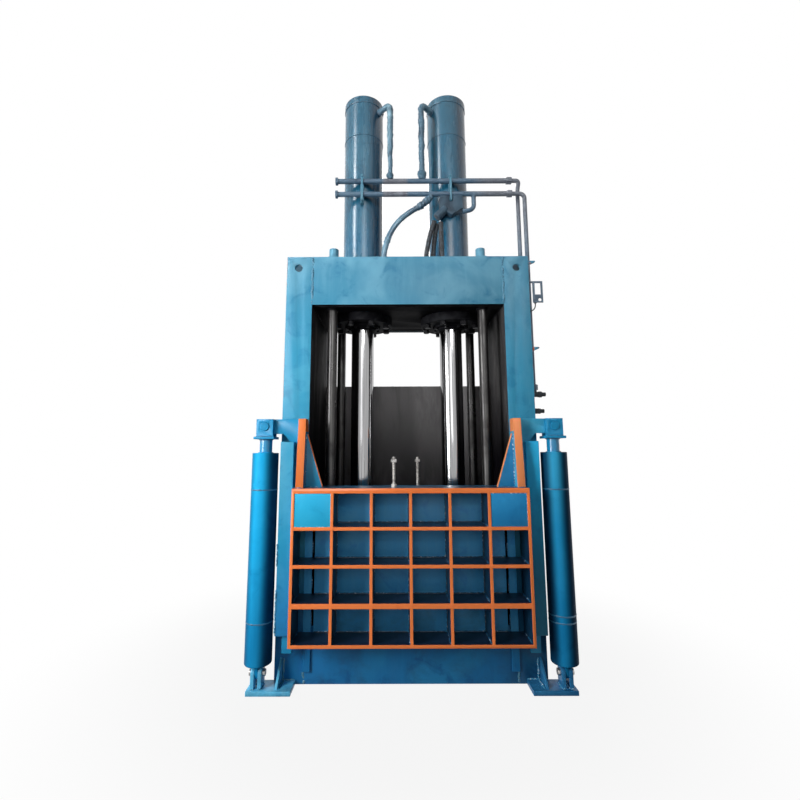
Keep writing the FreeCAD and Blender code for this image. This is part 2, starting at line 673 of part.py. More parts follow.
def make_lift_bracket(name, side):
    """A leaning post on the gate's top, the arm that reaches out to the lift cylinder, and a gusset."""
    body = new_body(name)
    outer = cell.bracket_outer
    near = outer - cell.bracket_plate
    start = near if side > 0 else -outer
    pad(body, "YZ", start, cell.bracket_plate, draw_loop,
        [(front - cell.bracket_foot_reach, gate_top), (front - cell.bracket_back_reach, gate_top),
         (front - cell.bracket_back_reach, bracket_top), (front - cell.bracket_top_reach, bracket_top)])
    low = bracket_top - cell.arm_depth
    tip = cell.lift_axis_out + cell.clevis_width / 2 - cell.clevis_gap
    pad(body, "XZ", lift_y - cell.arm_plate / 2, cell.arm_plate, draw_loop,
        [((outer - cell.bracket_plate / 2) * side, low - cell.haunch_drop),
         ((outer + cell.haunch_flat) * side, low - cell.haunch_drop),
         ((outer + cell.haunch_flat + cell.haunch_slope) * side, low), (tip * side, low),
         (tip * side, bracket_top), ((outer - cell.bracket_plate / 2) * side, bracket_top)])
    pad(body, "XZ", lift_y - cell.gusset_plate * 2, cell.gusset_plate, draw_loop,
        [((near - cell.gusset_base) * side, gate_top), ((near + cell.gusset_tip) * side, gate_top),
         ((near + cell.gusset_tip) * side, gate_top + cell.gusset_height),
         ((near - cell.gusset_tip) * side, gate_top + cell.gusset_height)])
    bore(body, "XZ", lift_y - cell.arm_plate / 2, cell.arm_plate,
         [(cell.lift_axis_out * side, clevis_pin_z, cell.clevis_pin / 2 + cell.running_clearance)])


def make_rod_clevis(name, side):
    """The fork on the lift rod: a base plate and two cheeks either side of the bracket's arm."""
    body = new_body(name)
    half_base, half_cheek = cell.clevis_base_width / 2, cell.clevis_width / 2
    middle = cell.lift_axis_out * side
    cheek_inside = cell.arm_plate / 2 + cell.clevis_gap
    cheek_low = cell.clevis_base_bottom + cell.clevis_base_plate
    pad(body, "XY", cell.clevis_base_bottom, cell.clevis_base_plate, draw_box,
        middle - half_base, middle + half_base, lift_y - half_base, lift_y + half_base)
    for start in (lift_y - cheek_inside - cell.clevis_cheek, lift_y + cheek_inside):
        pad(body, "XZ", start, cell.clevis_cheek, draw_box,
            middle - half_cheek, middle + half_cheek, cheek_low, bracket_top)
    reach = cheek_inside + cell.clevis_cheek
    bore(body, "XZ", lift_y - reach, reach * 2,
         [(middle, clevis_pin_z, cell.clevis_pin / 2 + cell.running_clearance)])


def make_clevis_pin(name, side):
    pin = document.addObject("Part::Cylinder", name)
    pin.Label = name
    reach = cell.arm_plate / 2 + cell.clevis_gap + cell.clevis_cheek + cell.clevis_pin_proud
    pin.setExpression("Radius", (cell.clevis_pin / 2).text)
    pin.setExpression("Height", (reach * 2).text)
    pin.Placement = FreeCAD.Placement(FreeCAD.Vector(), FreeCAD.Rotation(FreeCAD.Vector(1, 0, 0), -90))
    place(pin, cell.lift_axis_out * side, lift_y - reach, clevis_pin_z)
    sub_parts.append(pin)


def make_lift_rod(name, side):
    rod, piston = cell.lift_rod / 2, cell.lift_bore / 2 - cell.piston_clearance
    low = cell.lift_rod_bottom
    turn(name, [
        (0, low), (piston, low), (piston, low + cell.lift_piston), (rod, low + cell.lift_piston),
        (rod, cell.clevis_base_bottom), (0, cell.clevis_base_bottom)],
         cell.lift_axis_out * side, lift_y)


def make_lift_cylinder(name, side):
    """Closed tube with its gland at the top and its mounting eye below."""
    outer, hollow = cell.lift_tube / 2, cell.lift_bore / 2
    low, high = cell.lift_tube_bottom, cell.lift_tube_top
    hole = cell.lift_rod / 2 + cell.running_clearance
    body = turn(name, [
        (0, low), (outer, low), (outer, high), (hole, high), (hole, high - cell.lift_gland),
        (hollow, high - cell.lift_gland), (hollow, low + cell.lift_cap), (0, low + cell.lift_cap)],
         cell.lift_axis_out * side, lift_y)
    thick = cell.eye_plate
    radius = cell.eye_radius
    pad(body, "YZ", -thick / 2, thick, draw_box,
        -radius, radius, cell.foot_pin_height, low + cell.lift_cap / 2)
    pad(body, "YZ", -thick / 2, thick, draw_circle, 0, cell.foot_pin_height, radius)
    bore(body, "YZ", -thick / 2, thick,
         [(0, cell.foot_pin_height, cell.foot_pin / 2 + cell.running_clearance)])


def make_cylinder_foot(name, side):
    """Floor plate with the two lugs of the lift cylinder and a gusset to the column."""
    body = new_body(name)
    middle = cell.lift_axis_out * side
    left, right = mirrored(side, cell.foot_inner, cell.lift_axis_out + cell.foot_overhang)
    pad(body, "XY", 0, cell.foot_plate, draw_box, left, right, front - cell.foot_reach, front)
    lug_inside = cell.eye_plate / 2 + cell.lug_gap
    for start in (middle - lug_inside - cell.lug_plate, middle + lug_inside):
        pad(body, "YZ", start, cell.lug_plate, draw_loop,
            [(lift_y - cell.lug_radius, cell.foot_plate), (lift_y + cell.lug_radius, cell.foot_plate),
             (lift_y + cell.lug_radius, cell.foot_pin_height),
             (lift_y - cell.lug_radius, cell.foot_pin_height)])
        pad(body, "YZ", start, cell.lug_plate, draw_circle, lift_y, cell.foot_pin_height, cell.lug_radius)
    gusset = cell.foot_gusset_out * side - cell.foot_gusset_plate / 2
    tip = front - cell.foot_reach + cell.foot_gusset_inset
    pad(body, "YZ", gusset, cell.foot_gusset_plate, draw_loop,
        [(tip, cell.foot_plate), (front, cell.foot_plate),
         (front, cell.foot_plate + cell.foot_gusset_height)])
    reach = lug_inside + cell.lug_plate
    bore(body, "YZ", middle - reach, reach * 2,
         [(lift_y, cell.foot_pin_height, cell.foot_pin / 2 + cell.running_clearance)])


def make_foot_pin(name, side):
    pin = document.addObject("Part::Cylinder", name)
    pin.Label = name
    pin.setExpression("Radius", (cell.foot_pin / 2).text)
    pin.setExpression("Height", (cell.foot_pin_half_length * 2).text)
    pin.Placement = FreeCAD.Placement(FreeCAD.Vector(), FreeCAD.Rotation(FreeCAD.Vector(0, 1, 0), 90))
    place(pin, cell.lift_axis_out * side - cell.foot_pin_half_length, lift_y, cell.foot_pin_height)
    sub_parts.append(pin)


def make_gate():
    make_gate_grid()
    make_gate_sheet()
    make_corner_plates()
    make_stud("gate_stud", cell.gate_stud_x, gate_front + cell.gate_reach / 2,
              gate_top, cell.gate_stud_height)
    for side, word in ((-1, "left"), (1, "right")):
        make_gate_tongue(f"gate_tongue_{word}", side)
        make_lift_bracket(f"lift_bracket_{word}", side)
        make_rod_clevis(f"rod_clevis_{word}", side)
        make_clevis_pin(f"clevis_pin_{word}", side)
        make_lift_rod(f"lift_rod_{word}", side)
        make_lift_cylinder(f"lift_cylinder_{word}", side)
        make_cylinder_foot(f"cylinder_foot_{word}", side)
        make_foot_pin(f"foot_pin_{word}", side)


# ------------------------------------------------------------------ pipes, hoses and side fittings

def make_header(name, height):
    """A straight pipe across both cylinders: a blanking nut on its left end, a union on its right."""
    radius, union, union_length = (item.value for item in (cell.pipe / 2, cell.union, cell.union_length))
    left, right = cell.header_left_end.value, cell.header_right_end.value
    along = FreeCAD.Vector(1, 0, 0)
    start = vector(left, pipe_y, height)
    shape = Part.makeCylinder(radius, right - left, start, along)
    ends = [hexagon(union, union_length / 2, start, along),
            hexagon(union, union_length, start + along * (right - left - union_length), along)]
    solid_feature(name, shape.fuse(ends).removeSplitter())


def make_downpipe(name, height, x, bottom, set_back):
    """From a header's union round an elbow and down the outside of the right column."""
    start = vector(cell.header_right_end, pipe_y, height)
    set_back = length(set_back).value
    elbow = x.value - start.x
    points = [start, FreeCAD.Vector(x.value, start.y, start.z)]
    if set_back:
        points.append(FreeCAD.Vector(x.value, start.y + set_back, start.z - max(elbow, set_back)))
    points.append(FreeCAD.Vector(x.value, start.y + set_back, bottom.value))
    solid_feature(name, tube_along(points, cell.downpipe.value, 0.4))


def make_drop_pipe(name, side):
    """From the port near the top of a press cylinder forwards, then down to the upper header."""
    x = cell.drop_pipe_x * side
    foot = header_upper_z + cell.pipe / 2 - cell.weld_sink
    port_angle = math.radians(cell.port_angle.value)
    surface = (cell.press_tube / 2 - cell.weld_sink).value
    port = FreeCAD.Vector(side * (cell.press_axis_out.value - surface * math.cos(port_angle)),
                          -surface * math.sin(port_angle), drop_pipe_top.value)
    points = [port, vector(x, pipe_y, drop_pipe_top), vector(x, pipe_y, foot)]
    nut = Part.makeCylinder((cell.union / 2).value, cell.union_length.value,
                            vector(x, pipe_y, foot + cell.drop_pipe_nut_up))
    pipe = tube_along(points, cell.drop_pipe.value, 0.38).fuse(nut)
    solid_feature(name, pipe.cut(press_tube_room(side)).cut(header_room(header_upper_z)).removeSplitter())


def make_pipe_clamps():
    """On each press cylinder a saddle behind the two headers, a strap over them, and two studs."""
    reach, plate = cell.pipe.value / 2, cell.strap_plate.value
    low = header_lower_z.value - reach - cell.strap_below.value
    high = header_upper_z.value + reach + cell.strap_above.value
    wide, half = cell.saddle_width.value, cell.strap_width.value / 2
    back = FreeCAD.Vector(0, 1, 0)
    pieces = []
    for side in (-1, 1):
        x, y = cell.press_axis_out.value * side, pipe_y.value
        clamp = Part.makeBox(wide, -y, high - low, FreeCAD.Vector(x - wide / 2, y, low))
        for room in (press_tube_room(side), header_room(header_lower_z), header_room(header_upper_z)):
            clamp = clamp.cut(room)
        strap = Part.makeBox(half * 2, plate, high - low, FreeCAD.Vector(x - half, y - reach - plate, low))
        studs = [Part.makeCylinder(half / 2, reach + plate, FreeCAD.Vector(x, y - reach - plate, z), back)
                 for z in (low + half, high - half)]
        pieces.append(clamp.fuse([strap] + studs).removeSplitter())
    solid_feature("pipe_clamps", Part.makeCompound(pieces))


def make_valve():
    """The valve block on the right press cylinder, and the angled outlet that its hoses leave from."""
    x, z = cell.valve_x.value, (cell.frame_height + cell.valve_above).value
    wide, tall, corner = cell.valve_width.value / 2, cell.valve_height.value / 2, cell.valve_corner.value
    face = (pipe_y - cell.valve_reach).value
    corners = [(-wide, tall), (wide, tall), (wide, -tall + corner), (0, -tall), (-wide, -tall + corner)]
    outline = [FreeCAD.Vector(x + across, face, z + up) for across, up in corners]
    block = Part.Face(Part.makePolygon(outline + outline[:1])).extrude(FreeCAD.Vector(0, -face, 0))
    leaning = math.radians(cell.valve_outlet_angle.value)  # from straight up, towards the left
    outlet = Part.makeCylinder(cell.valve_outlet.value / 2, cell.valve_outlet_length.value,
                               FreeCAD.Vector(x - wide / 2, pipe_y.value, z - tall + corner),
                               FreeCAD.Vector(-math.sin(leaning), 0, math.cos(leaning)))
    clamp_half = (cell.saddle_width / 2 + cell.clamp_gap).value
    clamp_low = (header_lower_z - cell.pipe / 2 - cell.strap_below - cell.clamp_gap).value
    clamp_room = Part.makeBox(clamp_half * 2, -face * 2, z + tall, FreeCAD.Vector(
        cell.press_axis_out.value - clamp_half, face * 1.5, clamp_low))
    block = block.fuse(outlet).cut(press_tube_room(1)).cut(clamp_room)
    solid_feature("valve_block", block.removeSplitter())


def make_valve_feed():
    """The pipe from the lower header down and across into the valve block."""
    bend = header_lower_z - cell.valve_feed_drop
    entry = cell.valve_x + cell.valve_width / 2 - cell.weld_sink
    points = [vector(cell.valve_feed_x, pipe_y, header_lower_z), vector(cell.valve_feed_x, pipe_y, bend),
              vector(entry, pipe_y, bend - cell.valve_feed_fall)]
    feed = tube_along(points, cell.valve_feed.value, 0.4)
    block = next(item for item in sub_parts if item.Label == "valve_block")
    feed = feed.cut(header_room(header_lower_z)).cut(block.Shape)
    solid_feature("header_lower_feed", feed.removeSplitter())


hose_sides, wire_sides = 12, 6

# Hose routes, from the upper fitting to the socket on the crosshead's roof. Each point is given in shares:
# across, of the press cylinders' distance from the middle; up from the roof, of the upper fitting's height.
blue_hose_route = [(0.56, 0.9674), (0.35, 0.8448), (0.1, 0.7586), (-0.1, 0.6724), (-0.2733, 0.5556),
                   (-0.4133, 0.3985), (-0.4933, 0.2299), (-0.5067, 0.1188), (-0.5067, 0.0614)]
# Each black hose: how far it stands off the pipes' plane, in shares of its diameter, and its route.
black_hose_routes = [
    (-0.4444, [(0.6233, 0.7361), (0.56, 0.6065), (0.5067, 0.463), (0.4633, 0.3194), (0.4333, 0.1898),
               (0.4333, 0.0741)]),
    (0.5185, [(0.6933, 0.7199), (0.6533, 0.5903), (0.6233, 0.4537), (0.6033, 0.3148), (0.59, 0.1898),
              (0.59, 0.0741)]),
    (-0.6667, [(0.7633, 0.7083), (0.7633, 0.5833), (0.7667, 0.4537), (0.7733, 0.3194), (0.7767, 0.1852),
               (0.7767, 0.0741)]),
]


def make_hose(name, route, rise, diameter, offset=0):
    """A hose along its route, swaged into a short socket on the crosshead's roof."""
    roof = cell.frame_height.value
    y = (pipe_y + diameter * offset).value
    points = [vector(cell.press_axis_out * across, y, cell.frame_height + rise * up) for across, up in route]
    print_route(name, points)
    socket = Part.makeCylinder((cell.hose_socket / 2).value, cell.hose_socket_height.value,
                               FreeCAD.Vector(points[-1].x, y, roof))
    return tube_along(points, diameter.value, sides=hose_sides), socket


def make_hoses():
    hose, socket = make_hose("hose_blue", blue_hose_route, cell.header_above, cell.hose_blue)
    solid_feature("hose_blue", hose.cut(header_room(header_lower_z)))
    block = next(item for item in sub_parts if item.Label == "valve_block").Shape
    hoses, sockets = [], [socket]
    for offset, route in black_hose_routes:
        hose, socket = make_hose("hose_black", route, cell.valve_above, cell.hose_black, offset)
        hoses.append(hose.cut(block))
        sockets.append(socket)
    solid_feature("hoses_black", Part.makeCompound(hoses))
    solid_feature("hose_sockets", Part.makeCompound(sockets))


def draw_switch_plate(sketch):
    """An arm from the column, and below its outer end a plate with a slot and a round hole."""
    right, top = half_width + cell.switch_reach, switch_top
    left, low = right - cell.switch_body_width, top - cell.switch_height
    arm_low = top - cell.switch_arm_depth
    draw_loop(sketch, [(half_width, top), (half_width, arm_low), (left, arm_low), (left, low),
                       (right, low), (right, top)])
    slot_left = right - cell.switch_rim - cell.switch_slot_width
    draw_box(sketch, slot_left, right - cell.switch_rim, arm_low - cell.switch_slot_height, arm_low)
    draw_circle(sketch, right - cell.switch_hole, low + cell.switch_hole_up, cell.switch_hole / 2)


# The bends of the sensor's wire, across and up from the sensor, in shares of the wire's drop.
wire_bends = [(-0.036, -0.464), (-0.286, -0.821)]


def make_limit_switch():
    """The bracket on the right column, the sensor behind its plate, and the sensor's wire to the column."""
    body = new_body("switch_bracket")
    plate_front = front + cell.frame_plate / 2
    pad(body, "XZ", plate_front, cell.switch_plate, draw_switch_plate)
    x = half_width + cell.switch_reach - cell.switch_body_width + cell.sensor
    y = plate_front + cell.switch_plate + cell.sensor / 2
    start = vector(x, y, switch_top - cell.switch_height)
    sensor = Part.makeCylinder(cell.sensor.value / 2, cell.sensor_length.value, start)
    drop = cell.sensor_wire_drop.value
    end = FreeCAD.Vector(half_width.value, start.y, start.z - drop)
    bends = [start + FreeCAD.Vector(across, 0, up) * drop for across, up in wire_bends]
    points = [start] + bends + [end]
    print_route("sensor wire", points)
    inside_column = Part.makeBox(cell.column_width.value, cell.frame_depth.value, cell.frame_height.value,
                                 vector(inner, front, 0))
    wire = tube_along(points, cell.sensor_wire.value, sides=wire_sides).cut(inside_column)
    solid_feature("limit_sensor", sensor.fuse(wire).removeSplitter())


def make_column_pegs():
    """Two short tapered hooks on the edge of the right column."""
    for name, top in (("peg_upper", cell.frame_height - cell.peg_upper_down),
                      ("peg_lower", cell.frame_height - cell.peg_lower_down)):
        body = new_body(name)
        pad(body, "XZ", front + (cell.frame_plate - cell.peg_plate) / 2, cell.peg_plate, draw_loop,
            [(half_width, top - cell.peg_root), (half_width + cell.peg_length, top - cell.peg_tip),
             (half_width + cell.peg_length, top), (half_width, top)])
    group("column_pegs", "peg_")


def make_port_elbow(name, x, set_back, top):
    """A nut and an elbow on a downpipe's end, turned out to the nipple that the power unit's hose meets."""
    y = pipe_y + set_back
    start = vector(x, y, top)
    nut = hexagon(cell.union.value, cell.union_length.value, vector(x, y, top - cell.union_length))
    bend = start - FreeCAD.Vector(0, 0, cell.port_elbow_drop.value)
    shoulder = vector(cell.port_reach - cell.port_nipple_length, y, top - cell.port_elbow_drop)
    nipple = Part.makeCylinder(cell.port_nipple.value / 2, cell.port_nipple_length.value, shoulder,
                               FreeCAD.Vector(1, 0, 0))
    elbow = tube_along([start, bend, shoulder], cell.port_elbow.value, 0.4)
    solid_feature(name, elbow.fuse([nut, nipple]).removeSplitter())


def make_piping():
    make_header("header_upper_run", header_upper_z)
    make_header("header_lower_run", header_lower_z)
    make_pipe_clamps()
    make_drop_pipe("header_upper_drop_left", -1)
    make_drop_pipe("header_upper_drop_right", 1)
    for word, height, x, stop, set_back in (
            ("upper", header_upper_z, cell.downpipe_upper_x, cell.downpipe_upper_stop,
             cell.downpipe_set_back),
            ("lower", header_lower_z, cell.downpipe_lower_x, cell.downpipe_lower_stop, 0)):
        bottom = cell.frame_height - stop
        make_downpipe(f"downpipe_{word}_run", height, x, bottom, set_back)
        make_port_elbow(f"downpipe_{word}_elbow", x, set_back, bottom)
    make_valve()
    make_valve_feed()
    make_hoses()
    make_limit_switch()
    make_column_pegs()


for make in (make_frame, make_press, make_gate, make_piping):
    make()
grouped = {
    "rear_columns": "rear_column_", "wear_strips": "wear_strip_", "rod_glands": "rod_gland_",
    "guide_bushes": "guide_bush_", "guide_rods": "guide_rod_", "gate_tongues": "gate_tongue_",
    "clevis_pins": "clevis_pin_", "foot_pins": "foot_pin_", "header_upper": "header_upper_",
    "header_lower": "header_lower_", "downpipe_upper": "downpipe_upper_", "downpipe_lower": "downpipe_lower_",
}
for name, prefix in grouped.items():
    group(name, prefix)


# ------------------------------------------------------------------ checks and export

document.recompute()
failed = [item.Label for item in document.Objects if {"Invalid", "Error"} & set(item.State)]
failed += [item.Label for item in sub_parts if item.Shape.isNull() or not item.Shape.isValid()]
if failed:
    raise ValueError("these pieces failed: " + ", ".join(sorted(set(failed))))
os.makedirs("parts", exist_ok=True)
for item in sub_parts:
    item.Shape.exportStep(f"parts/{item.Label}.step")
print(len(sub_parts), "sub-parts written")
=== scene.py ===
import json
import math

import bmesh
import bpy
import numpy as np
from mathutils import Matrix, Vector

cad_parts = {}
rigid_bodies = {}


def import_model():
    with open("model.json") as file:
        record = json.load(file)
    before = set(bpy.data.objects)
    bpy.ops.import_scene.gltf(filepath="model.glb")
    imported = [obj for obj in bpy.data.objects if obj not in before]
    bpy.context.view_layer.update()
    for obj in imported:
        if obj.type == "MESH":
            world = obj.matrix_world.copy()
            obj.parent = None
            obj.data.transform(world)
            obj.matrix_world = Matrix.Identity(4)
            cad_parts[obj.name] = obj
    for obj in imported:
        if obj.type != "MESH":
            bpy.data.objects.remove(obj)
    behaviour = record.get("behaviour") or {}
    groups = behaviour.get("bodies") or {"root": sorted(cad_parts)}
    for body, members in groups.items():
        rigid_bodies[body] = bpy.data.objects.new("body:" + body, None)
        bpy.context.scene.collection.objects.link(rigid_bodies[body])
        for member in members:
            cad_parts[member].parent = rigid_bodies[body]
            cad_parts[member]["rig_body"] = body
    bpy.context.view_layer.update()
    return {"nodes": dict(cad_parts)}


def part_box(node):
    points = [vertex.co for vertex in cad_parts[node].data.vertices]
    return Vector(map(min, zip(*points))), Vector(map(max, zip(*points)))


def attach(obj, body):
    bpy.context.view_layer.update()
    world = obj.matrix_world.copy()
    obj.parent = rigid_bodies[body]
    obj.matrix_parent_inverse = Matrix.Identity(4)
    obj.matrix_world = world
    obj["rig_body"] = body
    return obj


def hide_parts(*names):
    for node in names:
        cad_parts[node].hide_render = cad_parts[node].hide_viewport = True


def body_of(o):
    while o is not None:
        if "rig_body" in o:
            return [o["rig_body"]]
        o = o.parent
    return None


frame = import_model()
nodes = frame["nodes"]
sides = {"left": -1, "right": 1}


def levels(nodeName):
    # the heights of a CAD node's foot and top
    low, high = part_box(nodeName)
    return low[2], high[2]


# The baler stands on z = 0 with its gate towards -Y. Everything is in metres.
beamBottom, roof = levels("crosshead")
gateFront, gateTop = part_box("gate_grid")[0][1], levels("gate_grid")[1]
frameFront, halfWidth, mouthHalf = -0.335, 0.750, 0.590
pressAxis, guideOut, guideOff = 0.300, 0.472, 0.245
liftX, liftY = 0.820, -0.405
pipeY, headerHeights = -0.1655, {"upper": 3.077, "lower": 2.982}

viewpoint = {
    "place": (-0.084, -3.000, 1.260), "pitch": 8.31, "yaw": -0.113, "roll": -0.198,
    "lens": 20.25, "shiftX": 0.0079, "shiftY": -0.01875,
}
lamps = {
    # name: place, what it points at, width, height, watts, spread in degrees
    "doorLeft": ((-3.0, -2.5, 1.9), (-0.1, -0.2, 1.3), 1.3, 1.8, 128, 180),
    "front": ((-0.6, -4.6, 2.2), (0.0, 0.0, 1.0), 1.6, 1.6, 16, 180),
    "skyLeft": ((-4.2, -3.3, 5.7), (0.0, 0.0, 3.05), 0.9, 2.6, 9, 40),
    "skyFront": ((0.7, -5.6, 4.6), (0.0, 0.0, 3.05), 3.2, 2.4, 10, 34),
    "behind": ((0.0, 4.8, 5.6), (0.0, 0.3, 1.2), 3.0, 2.0, 90, 120),
    "right": ((4.7, 1.7, 2.4), (0.0, 0.0, 1.3), 2.2, 2.2, 24, 180),
}
ambient, white = 0.03, (1, 1, 1)
floorLook = {"grey": (0.22, 0.22, 0.22), "glow": 0.90, "nearRadius": 0.9, "farRadius": 2.4, "reach": 30.0}


def makeCamera():
    pitch, yaw, roll = (math.radians(viewpoint[name]) for name in ("pitch", "yaw", "roll"))
    forward = Vector((math.sin(yaw) * math.cos(pitch), math.cos(yaw) * math.cos(pitch), math.sin(pitch)))
    right = forward.cross(Vector((0, 0, 1))).normalized()
    up = right.cross(forward)
    leaningRight = right * math.cos(roll) + up * math.sin(roll)
    leaningUp = up * math.cos(roll) - right * math.sin(roll)
    data = bpy.data.cameras.new("camera")
    data.lens, data.sensor_width = viewpoint["lens"], 36
    data.shift_x, data.shift_y = viewpoint["shiftX"], viewpoint["shiftY"]
    camera = bpy.data.objects.new("camera", data)
    facing = Matrix((leaningRight, leaningUp, -forward)).transposed().to_4x4()
    camera.matrix_world = Matrix.Translation(viewpoint["place"]) @ facing
    bpy.context.scene.collection.objects.link(camera)
    bpy.context.scene.camera = camera


def makeLamps():
    for name, (place, target, width, height, watts, spread) in lamps.items():
        data = bpy.data.lights.new(name, "AREA")
        data.shape, data.size, data.size_y, data.energy = "RECTANGLE", width, height, watts
        data.spread = math.radians(spread)
        lamp = bpy.data.objects.new(name, data)
        lamp.location = place
        lamp.rotation_euler = (Vector(target) - Vector(place)).to_track_quat("-Z", "Y").to_euler()
        lamp.visible_camera = False
        bpy.context.scene.collection.objects.link(lamp)


class Wiring:
    # shorthands for adding and joining shader nodes in one tree

    def __init__(self, tree):
        self.tree = tree

    def feed(self, socket, source):
        # a source is a socket or a plain value; colours are written without their alpha
        if isinstance(source, bpy.types.NodeSocket):
            self.tree.links.new(source, socket)
        elif socket.type == "RGBA":
            socket.default_value = (*source, 1)
        else:
            socket.default_value = source

    def node(self, kind, sources=None, **settings):
        # sources: what goes into which input, by its name or number
        made = self.tree.nodes.new(kind)
        for name, value in settings.items():
            setattr(made, name, value)
        for name, source in (sources or {}).items():
            self.feed(made.inputs[name], source)
        return made

    def math(self, operation, first, second=0.0, clamp=False):
        made = self.node("ShaderNodeMath", {0: first, 1: second}, operation=operation, use_clamp=clamp)
        return made.outputs[0]

    def product(self, *factors):
        result = factors[0]
        for factor in factors[1:]:
            result = self.math("MULTIPLY", result, factor)
        return result

    def scaled(self, vector, scale):
        return self.node("ShaderNodeMapping", {"Vector": vector, "Scale": scale}).outputs[0]

    def noise(self, vector, scale, detail=3.0, roughness=0.5, warp=0.0):
        return self.node("ShaderNodeTexNoise", {"Vector": vector, "Scale": scale, "Detail": detail,
                                                "Roughness": roughness, "Distortion": warp}).outputs[0]

    def smooth(self, value, low, high, start=0.0, end=1.0):
        return self.node("ShaderNodeMapRange", {"Value": value, "From Min": low, "From Max": high,
                                                "To Min": start, "To Max": end},
                         interpolation_type="SMOOTHSTEP").outputs[0]

    def blend(self, share, first, second):
        # a Mix node has its colour sockets after those for numbers and vectors
        return self.node("ShaderNodeMix", {0: share, 6: first, 7: second}, data_type="RGBA").outputs[2]

    def mixShaders(self, share, first, second):
        return self.node("ShaderNodeMixShader", {0: share, 1: first, 2: second}).outputs[0]

    def parts(self, vector):
        return self.node("ShaderNodeSeparateXYZ", {0: vector}).outputs

    def upward(self):
        return self.parts(self.node("ShaderNodeNewGeometry").outputs["True Normal"])[2]

    def group(self, tree, **values):
        return self.node("ShaderNodeGroup", values, node_tree=tree).outputs

    def seenDirectly(self):
        # 1 for what the camera sees directly, in a reflection or through glass
        rays = self.node("ShaderNodeLightPath").outputs
        seen = self.math("MAXIMUM", rays["Is Camera Ray"], rays["Is Glossy Ray"])
        return self.math("MAXIMUM", seen, rays["Is Transmission Ray"])


def makeWorld():
    world = bpy.data.worlds.new("paleStudio")
    world.use_nodes = True
    world.node_tree.nodes.clear()
    w = Wiring(world.node_tree)
    dim, full = (w.node("ShaderNodeBackground", {"Color": white, "Strength": strength}).outputs[0]
                 for strength in (ambient, 1.0))
    w.node("ShaderNodeOutputWorld", {"Surface": w.mixShaders(w.seenDirectly(), dim, full)})
    bpy.context.scene.world = world


def makeFloor():
    material = bpy.data.materials.new("paleFloor")
    material.use_nodes = True
    material.node_tree.nodes.clear()
    w = Wiring(material.node_tree)
    matt = w.node("ShaderNodeBsdfDiffuse", {"Color": floorLook["grey"]}).outputs[0]
    glow = w.node("ShaderNodeEmission").outputs[0]
    # the floor shows its own light all the more the farther it is, so that it meets the white backdrop unseen
    place = w.node("ShaderNodeTexCoord").outputs["Object"]
    distance = w.node("ShaderNodeVectorMath", {0: place}, operation="LENGTH").outputs["Value"]
    spread = w.smooth(distance, floorLook["nearRadius"], floorLook["farRadius"], floorLook["glow"], 1.0)
    w.node("ShaderNodeOutputMaterial",
           {"Surface": w.mixShaders(w.product(w.seenDirectly(), spread), matt, glow)})
    reach = floorLook["reach"]
    mesh = bpy.data.meshes.new("floor")
    mesh.from_pydata([(-reach, -reach, 0), (reach, -reach, 0), (reach, reach, 0), (-reach, reach, 0)],
                     [], [(0, 1, 2, 3)])
    mesh.materials.append(material)
    floor = bpy.data.objects.new("floor", mesh)
    bpy.context.scene.collection.objects.link(floor)


makeCamera()
makeLamps()
makeWorld()
makeFloor()
bpy.context.scene.view_settings.view_transform = "Standard"
print("stage, lamps and camera placed")


def newGroup(name, takes, gives):
    tree = bpy.data.node_groups.new(name, "ShaderNodeTree")
    for way, sockets in (("INPUT", takes), ("OUTPUT", gives)):
        for label, kind in sockets.items():
            tree.interface.new_socket(label, in_out=way, socket_type="NodeSocket" + kind)
    wiring = Wiring(tree)
    return tree, wiring, wiring.node("NodeGroupInput").outputs, wiring.node("NodeGroupOutput").inputs


def makeBrushedCoat():
    # paint rolled and brushed on by hand: broad patches, upright strokes and a fine orange peel
    tree, w, takes, gives = newGroup(
        "brushedCoat",
        {"Place": "Vector", "Main": "Color", "Pale": "Color", "Deep": "Color", "Patchy": "Float"},
        {"Colour": "Color", "Height": "Float", "Stroke": "Float"})
    broad = w.noise(takes["Place"], 2.3, 4.0, 0.55, 0.6)
    cloud = w.noise(takes["Place"], 7.5, 4.0, 0.6, 0.8)
    strokes = w.noise(w.scaled(takes["Place"], (26.0, 26.0, 3.0)), 1.0, 4.0, 0.6, 0.2)
    peel = w.noise(takes["Place"], 260.0, 2.0, 0.5)
    pale = w.product(w.smooth(broad, 0.46, 0.66), takes["Patchy"])
    deep = w.product(w.smooth(cloud, 0.52, 0.72), takes["Patchy"])
    colour = w.blend(pale, takes["Main"], takes["Pale"])
    colour = w.blend(deep, colour, takes["Deep"])
    w.feed(gives["Colour"], w.blend(w.product(w.smooth(strokes, 0.45, 0.75), 0.35), colour, takes["Pale"]))
    w.feed(gives["Stroke"], strokes)
    w.feed(gives["Height"], w.math("ADD", w.product(strokes, 0.7), w.product(peel, 0.3)))
    return tree


def makeSlantMask():
    # 1 where a point lies in front of a plane through Foot with the given Normal, ragged by a few millimetres
    tree, w, takes, gives = newGroup(
        "slantMask", {"Place": "Vector", "Foot": "Vector", "Normal": "Vector", "Ragged": "Float"},
        {"Mask": "Float"})
    offset = w.node("ShaderNodeVectorMath", {0: takes["Place"], 1: takes["Foot"]}, operation="SUBTRACT")
    along = w.node("ShaderNodeVectorMath", {0: offset.outputs[0], 1: takes["Normal"]}, operation="DOT_PRODUCT")
    drift = w.math("SUBTRACT", w.noise(takes["Place"], 55.0, 3.0, 0.6), 0.5)
    depth = w.math("ADD", along.outputs["Value"], w.product(drift, takes["Ragged"]))
    w.feed(gives["Mask"], w.smooth(depth, -0.0004, 0.0004))
    return tree


